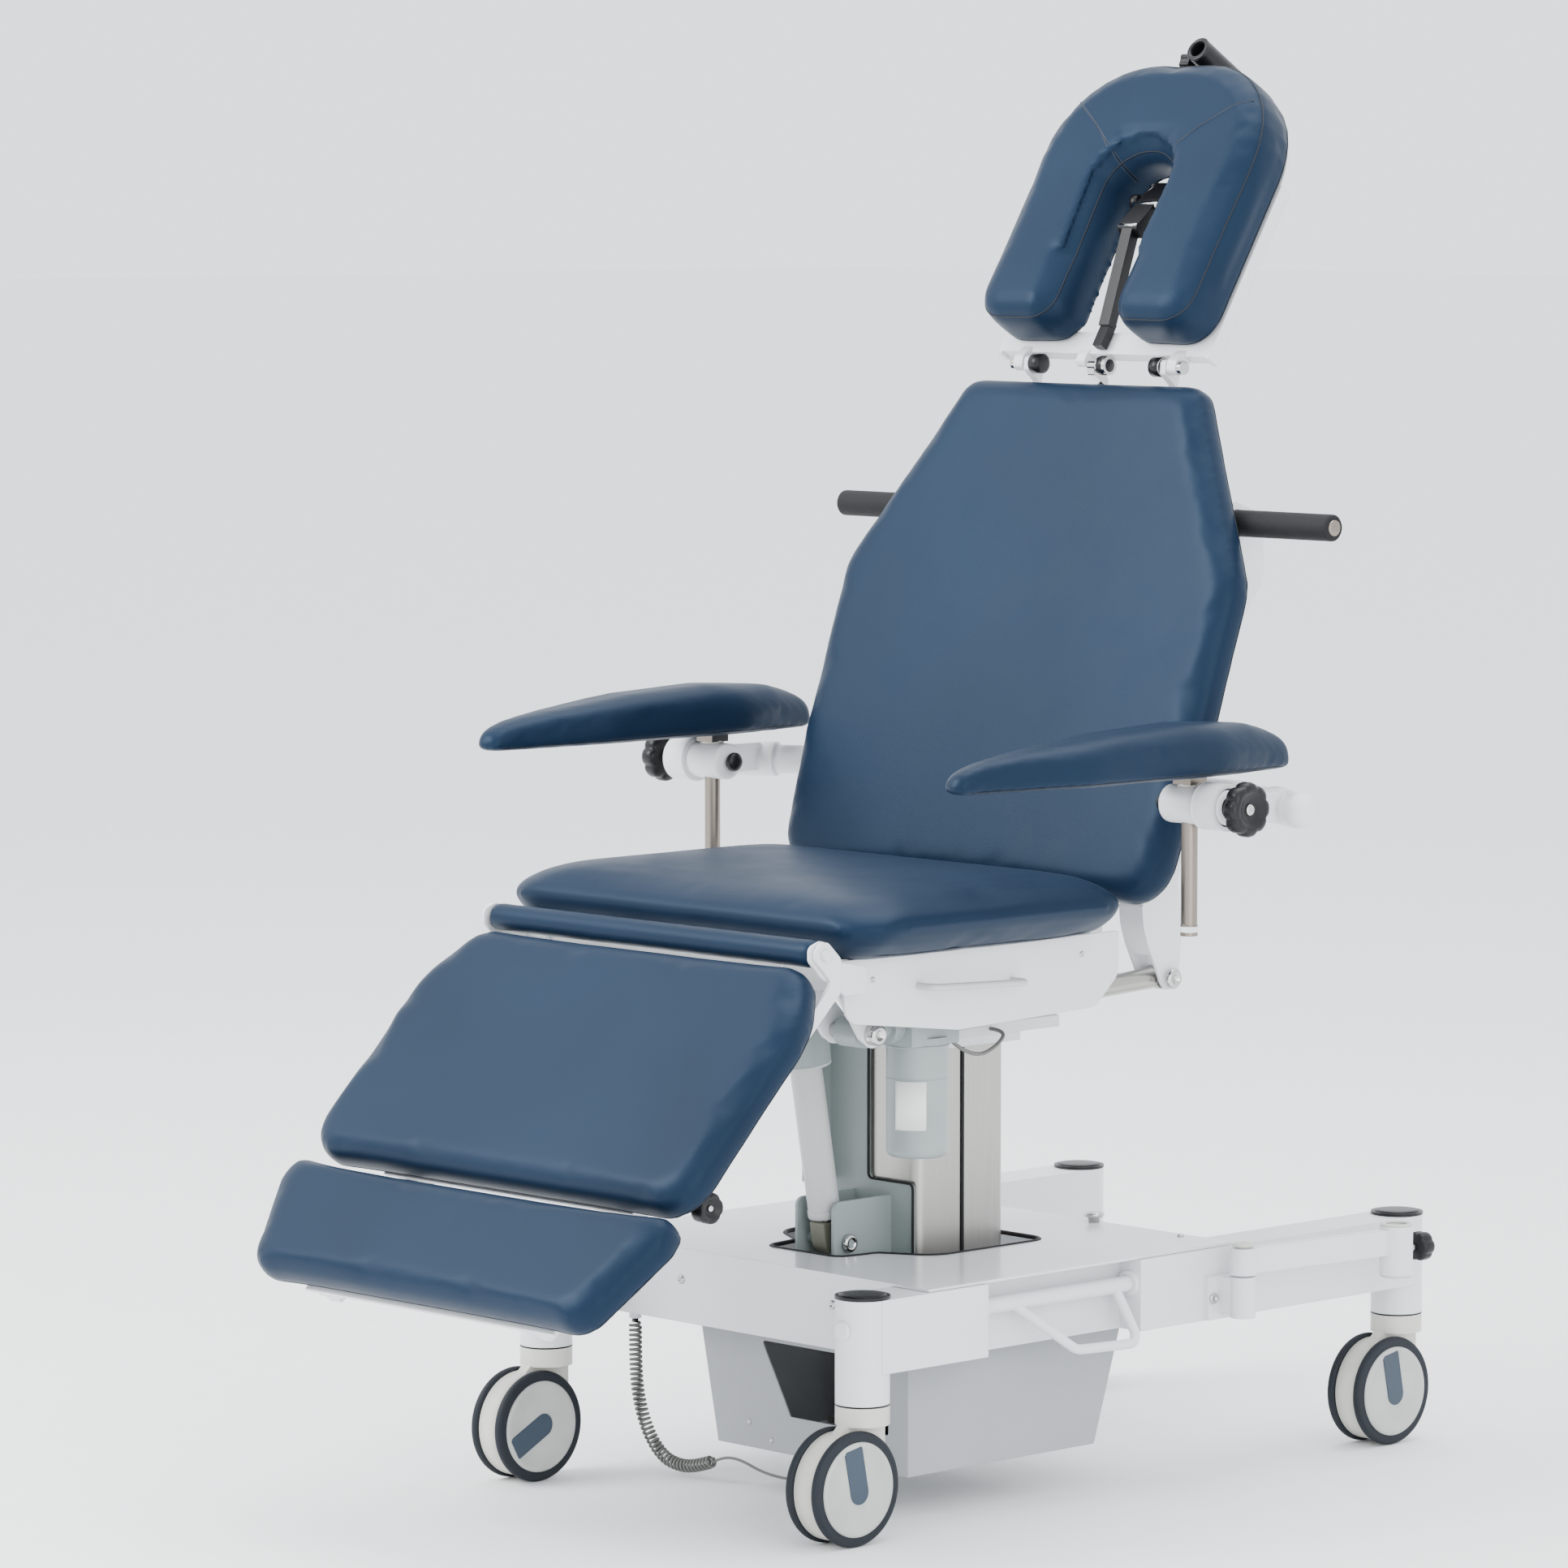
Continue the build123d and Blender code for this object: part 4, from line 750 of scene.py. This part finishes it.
def armrest_pad(side):
    """Bean-shaped pad, domed on top, thickest behind its middle and thin at the front."""
    k = 1 if side == "left" else -1
    outline = rounded([(355, -414), (387, -418), (427, -250), (425, -40), (395, 92), (363, 92), (333, -40),
                       (335, -250)], [14, 14, 150, 150, 15, 15, 150, 150], 8)
    even = resample_count(outline, 170)
    shape = ((0.80, 0.985, 0.0), (0.93, 0.995, 0.03), (0.985, 1.0, 0.10), (1.0, 1.0, 0.22),
             (0.985, 0.998, 0.38), (0.94, 0.992, 0.55), (0.86, 0.98, 0.70), (0.74, 0.955, 0.83),
             (0.58, 0.91, 0.92), (0.38, 0.84, 0.98))
    middle = Vector((380, -163))
    rings = [([middle + Vector(((p.x - 380) * fx, (p.y + 163) * fy)) for p in even], 100 * t)
             for fx, fy, t in shape]
    obj = stack(f"armrest_pad_vinyl_{side}", rings, FLAT)
    crown = ((-419, 25), (-380, 32), (-330, 38), (-200, 52), (-80, 58), (20, 53), (93, 36))
    for v in obj.data.vertices:
        y = (v.co.y - SHIFT) * 1000
        height = crown[0][1]
        for (y0, h0), (y1, h1) in zip(crown, crown[1:]):
            if y0 <= y <= y1:
                t = (y - y0) / (y1 - y0)
                height = h0 + (h1 - h0) * t
        v.co.z = 0.8065 + v.co.z / 0.1 * height * 0.001
        v.co.x *= k
    if k < 0:
        obj.data.flip_normals()
    remesh_and_fill(obj, 0.0042, 0.003)
    for v in obj.data.vertices:
        v.co.z = max(v.co.z, 0.8068)
    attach(obj, f"arm_pad_{side}")
    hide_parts(f"armrest_pad_{side}")
    flat = [at(k * p.x, p.y, 808.5) for p in inset_ring(even, 3)[::3]]
    tube(f"armrest_welt_{side}", cling(obj, flat), 0.0008, SEAM, f"arm_pad_{side}", closed=True, sides=2)


for side in ("left", "right"):
    armrest_pad(side)


# ---------------------------------------------------------------- casters
CORNERS = {"front_left": (254, -428.5, 191), "front_right": (-254, -428.5, -62),
           "rear_left": (254, 428.5, 191), "rear_right": (-254, 428.5, 200)}


def caster(corner, x, y, turn):
    """Twin wheels with bonded tyres, recessed discs and a rounded slot insert."""
    ay = y - TRAIL
    body = "wheel_" + corner
    bm = bmesh.new()
    profile = []
    for k in range(13):
        a = -pi / 2 + pi * k / 12
        profile.append((5.0 * sin(a), 57.0 + 5.4 * max(cos(a), 0.0) ** 0.75))
    sides = 72
    for centre in (-19.6, 19.6):
        rings = []
        for d, r in [(-4.9, 47)] + profile + [(4.9, 47)]:
            rings.append([bm.verts.new(at(x + centre + d, ay + r * cos(2 * pi * i / sides),
                                          AXLE_Z + r * sin(2 * pi * i / sides))) for i in range(sides)])
        skin(bm, rings)
        for ring in (rings[0], rings[-1]):
            bm.faces.new(ring)
    bmesh.ops.recalc_face_normals(bm, faces=bm.faces)
    tyre = link("wheel_tyre_" + corner, mesh_from(bm, "tyre"), TYRE)
    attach(tyre, body)
    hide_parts("caster_wheel_" + corner)
    for side, name in ((1, "outer"), (-1, "inner")):
        face = x + side * 24.6
        lathe(f"wheel_disc_{corner}_{name}", [(-3, 51), (0.2, 51.2), (1.6, 50.2), (2.2, 46), (1.0, 44),
              (1.2, 20), (1.4, 3)], at(face, ay, AXLE_Z), Vector((side, 0, 0)), DISC, body, 64)
        lathe(f"wheel_step_{corner}_{name}", [(-1, 55.6), (0.3, 55.6), (0.9, 54.2), (0.9, 51.5)],
              at(face - side * 0.9, ay, AXLE_Z), Vector((side, 0, 0)), TYRE, body, 64)
        slot_shape = rounded([(-13, -46), (13, -46), (13, 16), (-13, 16)], [3, 3, 12.9, 12.9], 10)
        m = basis(at(face + side * 0.2, ay, AXLE_Z), Vector((0, side, 0)), UP,
                  Vector((side, 0, 0))) @ Matrix.Rotation(radians(turn * side), 4, "Z")
        prism(f"wheel_insert_{corner}_{name}", slot_shape, m, 0.2, 2.1, SLATE, body, 0.5)
    lathe("wheel_hub_" + corner, [(-19, 44), (19, 44)], at(x, ay, AXLE_Z), SIDE, CREAM, body, 48, 1.0)


def post_dressing():
    """Plug, collar rings and cap domes of the four posts, and the casters' fenders."""
    lathe("post_plug_front_left", [(0, 11), (2.2, 11), (4.0, 9)], at(254, -457.6, 230), FRONT,
          WHITE, "base", 32, 0.6)
    for corner, (x, y, _) in CORNERS.items():
        lathe("collar_ring_" + corner, [(0, 29.6), (1.8, 29.6)], at(x, y, 147.6), UP,
              BLACK, "base", 48)
        lathe("cap_dome_" + corner, [(0, 26), (1.2, 25.4), (1.9, 20), (2.2, 6)], at(x, y, 265.8),
              UP, BLACK, "base", 48)
        lathe("housing_fender_" + corner, [(-14.2, 57.4), (-13.2, 58.6), (13.2, 58.6), (14.2, 57.4)],
              at(x, y - TRAIL, AXLE_Z), SIDE, CREAM, "caster_" + corner, 72)


for corner, (x, y, turn) in CORNERS.items():
    caster(corner, x, y, turn)
post_dressing()


# ---------------------------------------------------------------- base dressing
def screw(name, place, axis, body, radius=5.0, height=2.6):
    """Domed chrome screw head with a round socket."""
    profile = [(height * d, radius * r) for d, r in
               ((0, 1), (0.45, 1), (0.85, 0.8), (1, 0.45), (0.55, 0.40), (0.5, 0.05))]
    lathe(name, profile, place, axis, CHROME, body, 24)


def cover_hole_line():
    """Black line round the cover's cut-out."""
    points = [(125, -12), (125, -190), (66, -222), (58, -276), (-58, -276), (-66, -222), (-125, -190),
              (-125, -12)]
    ring = resample(rounded(points, [24, 40, 12, 18, 18, 12, 40, 24]), 8.0)
    line = [at(p.x, p.y, 265.2) for p in inset_ring(ring, 0.5)]
    tube("cover_hole_dark_line", line, 0.0026, DARK_LINES_AND_SHADE, "base", closed=True, sides=3)


cover_hole_line()
screw("skirt_screw_1", at(-110, -355, 231), FRONT, "base")
screw("skirt_screw_2", at(132, -355, 232), FRONT, "base")
screw("cover_screw_rear", at(214, 108, 266), UP, "base", 4.0)
screw("box_screw_1", at(-30, -327, 78), FRONT, "base", 3.0, 1.6)
screw("box_screw_2", at(6, -327, 62), FRONT, "base", 3.0, 1.6)
lathe("cover_knob", [(0, 6), (2, 7), (5, 7.5), (6, 11), (9, 12), (11, 10), (12, 4)], at(73, 115, 266),
      UP, CHROME, "base", 32)
for y in (80, 118):
    screw(f"bracket_screw_{y}", at(291, y, 208), SIDE, "base", 6.5, 3.0)


def socket_bushes():
    """Bushes of the swing arm's accessory socket, and the cap on its pivot."""
    for z, way, name in ((269, 1, "top"), (213, -1, "bottom")):
        lathe("socket_bush_" + name, [(0, 12.8), (0, 18.2), (1.6, 18.4), (2.6, 17.4), (2.6, 12.8), (0, 12.8)],
              at(340, 330, z), Vector((0, 0, way)), CREAM, "swing_arm", 48)
    lathe("pivot_cap", [(0, 12), (2.4, 12), (3.6, 10), (4.0, 4)], at(318, 99, 268), UP,
          CREAM, "base", 40)


socket_bushes()


def star(name, place, axis, radius, depth, lobes, body, node):
    """Lobed hand knob with a dished face and a chrome centre."""
    bm = bmesh.new()
    rows = []
    per = lobes * 12
    for share, d in ((0.80, 0.0), (0.96, depth * 0.12), (1.0, depth * 0.3), (1.0, depth * 0.7),
                     (0.96, depth * 0.88), (0.84, depth), (0.62, depth * 0.98), (0.5, depth * 0.80),
                     (0.3, depth * 0.78)):
        row = []
        for i in range(per):
            a = 2 * pi * i / per
            wave = 1 - 0.11 * (1 - abs(cos(a * lobes / 2))) ** 1.4 if share > 0.7 else 1.0
            r = radius * share * wave
            row.append(bm.verts.new((r * cos(a) * MM, r * sin(a) * MM, d * MM)))
        rows.append(row)
    skin(bm, rows)
    bm.faces.new(rows[0])
    bm.faces.new(rows[-1])
    placed(bm, Matrix.Translation(place) @ turned_to(axis))
    obj = link(name, mesh_from(bm, name), BLACK)
    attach(obj, body)
    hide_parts(node)
    lathe(name + "_centre", [(0, radius * 0.22), (1.2, radius * 0.22), (2.0, radius * 0.14)],
          place + axis.normalized() * depth * 0.00079, axis, CHROME, body, 24)


def knobs():
    """Handwheels of the armrests and the knobs of the swing arm and the foot section."""
    for side, k in (("left", 1), ("right", -1)):
        star("handwheel_" + side, at(k * 452, ARM_Y, ARM_Z), Vector((k, 0, 0)), 29.8, 20, 8,
             "arm_wheel_" + side, "armrest_wheel_" + side)
        lathe("handwheel_neck_" + side, [(0, 13), (6, 11), (14, 9.5), (17, 12)], at(k * 437, ARM_Y, ARM_Z),
              Vector((k, 0, 0)), BLACK, "arm_wheel_" + side, 32)
    star("swing_arm_knob", at(340, 362, 241), REAR, 17, 18, 6, "arm_knob", "arm_knob")
    lathe("swing_arm_stud", [(0, 5), (16, 5)], at(340, 348.5, 241), REAR, CHROME, "arm_knob", 24)
    star("foot_clamp_knob", at(266, -675.5, 387.7), SIDE, 17, 20, 5, "foot_knob", "foot_knob")
    lathe("foot_clamp_stud", [(0, 4), (84, 4)], at(183, -675.5, 387.7), SIDE, CHROME,
          "foot_knob", 24)


knobs()


# ---------------------------------------------------------------- armrest hardware
def armrest_hardware(side, k):
    """Clamp with its bushes and screw, the post's foot and the ring on the support tube."""
    clamp = lathe("clamp_sleeve_" + side, [(0, 17), (1.5, 20.6), (4, 21), (51, 21), (53, 20.6), (53.4, 17)],
                  at(k * 350.6, ARM_Y, ARM_Z), Vector((k, 0, 0)), WHITE, "arm_clamp_" + side, 56)
    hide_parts("armrest_clamp_" + side)
    lathe("clamp_core_" + side, [(0, 19), (34, 19)], at(k * 403.9, ARM_Y, ARM_Z), Vector((k, 0, 0)), WHITE,
          "arm_clamp_" + side, 40)
    lathe("clamp_end_knob_" + side, [(0, 5), (3, 5), (4, 9), (7, 11), (11, 11), (13.4, 9), (14.4, 4)],
          at(k * 351, ARM_Y, ARM_Z), Vector((-k, 0, 0)), BLACK, "arm_clamp_" + side, 32)
    lathe("clamp_bush_top_" + side, [(0, 9.3), (0, 13.5), (3, 13.2), (3.8, 12), (3.8, 9.3), (0, 9.3)],
          at(k * 379, ARM_Y, 795.2), UP, CREAM, "arm_clamp_" + side, 40)
    screw("clamp_screw_" + side, at(k * 366, ARM_Y, 794.6), UP, "arm_clamp_" + side, 3.2, 2.0)
    lathe("post_foot_" + side, [(0, 6.5), (1.5, 9), (5, 9.8), (10, 9.8), (11, 9.2)],
          at(k * 379, ARM_Y, 631.9), UP, WHITE, "arm_post_" + side, 40)
    lathe("sleeve_ring_" + side, [(0, 25.4), (1.0, 26.3), (3, 26.3), (4, 25.4)], at(k * 403, ARM_Y, ARM_Z),
          Vector((k, 0, 0)), WHITE, "back", 48)


for side, k in (("left", 1), ("right", -1)):
    armrest_hardware(side, k)


# ---------------------------------------------------------------- column, actuators and seat
def motor_piece():
    """Seams, blank label, screw and cable gland of the back actuator's motor can."""
    lathe("motor_can_seam", [(0, 34.25), (1.2, 34.25)], at(180, -274, 478), UP, GREY_GREEN,
          "back_tube", 64)
    lathe("motor_can_lip", [(0, 34.3), (0.8, 35.0), (3.0, 35.0), (3.8, 34.3)], at(180, -274, 512),
          UP, MOTOR, "back_tube", 64)
    bm = bmesh.new()
    rows = []
    for z in (424, 478 - 1):
        row = []
        for i in range(13):
            a = radians(-88 + 60 * i / 12)
            row.append(bm.verts.new(at(180 + 34.35 * cos(a), -274 + 34.35 * sin(a), z)))
        rows.append(row)
    for i in range(12):
        bm.faces.new((rows[0][i], rows[0][i + 1], rows[1][i + 1], rows[1][i]))
    sticker = link("motor_label_blank", mesh_from(bm, "label"), LABEL)
    sheet = sticker.modifiers.new("thickness", "SOLIDIFY")
    sheet.thickness, sheet.offset = 0.0003, 1.0
    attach(sticker, "back_tube")
    screw("motor_screw", at(196, -312, 541), FRONT, "back_tube", 4.0)
    lathe("cable_gland", [(0, 5.5), (4, 5.5), (7, 4.2), (11, 2.6)], at(160, -240, 521), REAR,
          BLACK, "back_tube", 24)


motor_piece()


def tilt_pieces():
    """Housing, ring, rod end and foot bolts of the tilt actuator."""
    foot, eye = at(0, -235, 275), at(0, -283, 548)
    way = (eye - foot).normalized()
    head = lathe("tilt_head_housing", [(0, 24), (3, 29.0), (8, 29.4), (60, 29.4), (66, 27), (68, 20)],
                 foot + way * 0.2015, way, GREY_GREEN, "tilt_tube", 56)
    lathe("tilt_tube_ring", [(0, 18.2), (1, 18.9), (8, 18.9), (9, 18.2)], foot + way * 0.0275, way, TUBE,
          "tilt_tube", 48)
    screw("tilt_head_screw", foot + way * 0.216 + Vector((0, -0.0291, -0.005)), Vector((0, -1, -0.17)),
          "tilt_tube", 3.4, 1.8)
    block = rounded([(-15, -15), (15, -15), (15, 22), (-15, 22)], [13, 13, 4, 4], 8)
    m = basis(at(0, -235, 275), REAR, way, SIDE)
    prism("rod_end_block", block, m, -11.2, 11.2, OLIVE, "tilt_rod", 1.2)
    for k in (1, -1):
        lathe(f"tilt_foot_bolt_{k + 1}",
              [(0, 10.3), (3.5, 10.3), (5.5, 8.2), (5.5, 5), (2.5, 4.4), (2.4, 0.4)],
              at(k * 33, -235, 275), Vector((k, 0, 0)), CHROME, "column", 32)


tilt_pieces()


def bracket_line():
    """Black line along the column bracket's edge, and painted shade as black lines down the column's side
    grooves.
    """
    y = -168.2
    points = [at(-4.4, y, 486), at(-4.4, y, 420), at(-4.4, y, 350), at(-4.4, y, 337.5), at(8, y, 337.5),
              at(52, y, 337.5), at(66.4, y, 337.5), at(66.4, y, 322), at(66.4, y, 262), at(66.4, y, 249)]
    tube("bracket_edge_dark_line", points, 0.0016, DARK_LINES_AND_SHADE, "column", sides=2)
    # painted shade: black lines stand for the shade inside the column's side grooves
    for k in (1, -1):
        plate = [at(k * 70.2, -95, z) for z in (102, 220, 360, 486)]
        tube(f"column_groove_painted_shade_{k + 1}", plate, 0.0023, DARK_LINES_AND_SHADE, "column", sides=2)


bracket_line()


def bolt_heads():
    """Heads of the two pivot bolts in view, and the screws of the side panels."""
    for name, place, body in (("back_bolt", (205.6, 102, 557), "back"),
                              ("seat_bolt", (216.6, -371, 536), "seat")):
        lathe(name + "_head", [(0, 11.5), (3, 11.5), (5.5, 9), (5.5, 5.4), (2.6, 5.0), (2.5, 0.4)],
              at(*place), SIDE, CHROME, body, 36)
    for k in (1, -1):
        for i, (y, z) in enumerate(((-400, 600), (-80, 602))):
            screw(f"panel_screw_{k + 1}_{i}", at(k * 240, y, z), Vector((k, 0, 0)), "seat", 3.4, 1.6)


bolt_heads()


def push_grip():
    """Foam sleeve with rounded ends and the steel core showing at each end."""
    centre = local(BACK, 0, -156.0, -34.8)
    profile = [(-387, 10), (-387, 13), (-385, 14.8), (-382, 15)]
    profile += [(x, 15 + 0.05 * (i % 2)) for i, x in enumerate(range(-360, 361, 24))]
    profile += [(382, 15), (385, 14.8), (387, 13), (387, 10)]
    grip = lathe("push_bar_grip", profile, centre, SIDE, FOAM, "back", 44)
    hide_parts("push_bar")
    lathe("push_bar_core", [(-388.8, 8), (-388, 9), (388, 9), (388.8, 8)], centre, SIDE, STEEL,
          "back", 32)


push_grip()


def headrest_hardware():
    """Rim of the tube holder, pins of the ratchet strut and locks of the hinge."""
    normal = HEAD.to_3x3() @ UP
    lathe("holder_rim", [(0, 10.2), (0, 15.2), (1.6, 15.4), (2.4, 14.4), (2.4, 10.2), (0, 10.2)],
          local(HEAD, 0, 392, 51), normal, BLACK, "head", 48)
    lathe("strut_pin", [(-21, 4.4), (-20.4, 5), (20.4, 5), (21, 4.4)], local(HEAD, 0, 196, 28), SIDE,
          CHROME, "head", 28)
    lathe("strut_pin_knob", [(0, 6), (1, 9), (9, 9.4), (11, 7)], local(HEAD, -20, 204, 22),
          Vector((-1, 0, 0)), BLACK, "head", 28)
    lathe("strut_bolt", [(-14, 4), (-13.4, 4.8), (13.4, 4.8), (14, 4)], local(HEAD, 0, 160, 40), SIDE,
          CHROME, "head", 28)
    axis = local(HEAD, 0, 0, 0)
    for k in (1, -1):
        lathe(f"hinge_lock_{k + 1}", [(-8, 8), (-7, 11.3), (7, 11.3), (8, 8)],
              axis + Vector((k * 0.095, 0, 0)), SIDE, BLACK, "back", 32)
    lathe("ratchet_button", [(0, 8), (2, 11.3), (10, 11.3), (14.5, 7)], axis + Vector((0.004, 0, 0)),
          SIDE, BLACK, "back", 32)


headrest_hardware()


# ---------------------------------------------------------------- stage
def make_stage():
    """Pale floor, studio sky and three soft lights."""
    bm = bmesh.new()
    for x, y in ((-60, -60), (60, -60), (60, 60), (-60, 60)):
        bm.verts.new((x, y, 0))
    bm.faces.new(bm.verts)
    floor = link("floor", mesh_from(bm, "floor"), FLOOR, smooth=False)
    world = bpy.data.worlds.new("studio")
    scene.world = world
    world.use_nodes = True
    world.node_tree.nodes["Background"].inputs["Color"].default_value = (0.93, 0.96, 1.0, 1)
    world.node_tree.nodes["Background"].inputs["Strength"].default_value = 2.1

    def area(name, place, target, size, power, color=(1, 1, 1)):
        data = bpy.data.lights.new(name, "AREA")
        data.shape = "RECTANGLE"
        data.size, data.size_y = size
        data.energy, data.color = power, color
        light = bpy.data.objects.new(name, data)
        scene.collection.objects.link(light)
        light.location = Vector(place)
        light.rotation_euler = (Vector(target) - Vector(place)).to_track_quat("-Z", "Y").to_euler()

    area("key", (-2.2, -3.6, 3.6), (0, 0, 0.8), (2.8, 2.4), 330)
    area("fill", (3.8, -1.4, 1.6), (0, 0, 0.5), (2.4, 2.6), 70)
    area("top", (0.2, 0.6, 4.6), (0, 0, 0.6), (3.4, 3.4), 150)


make_stage()
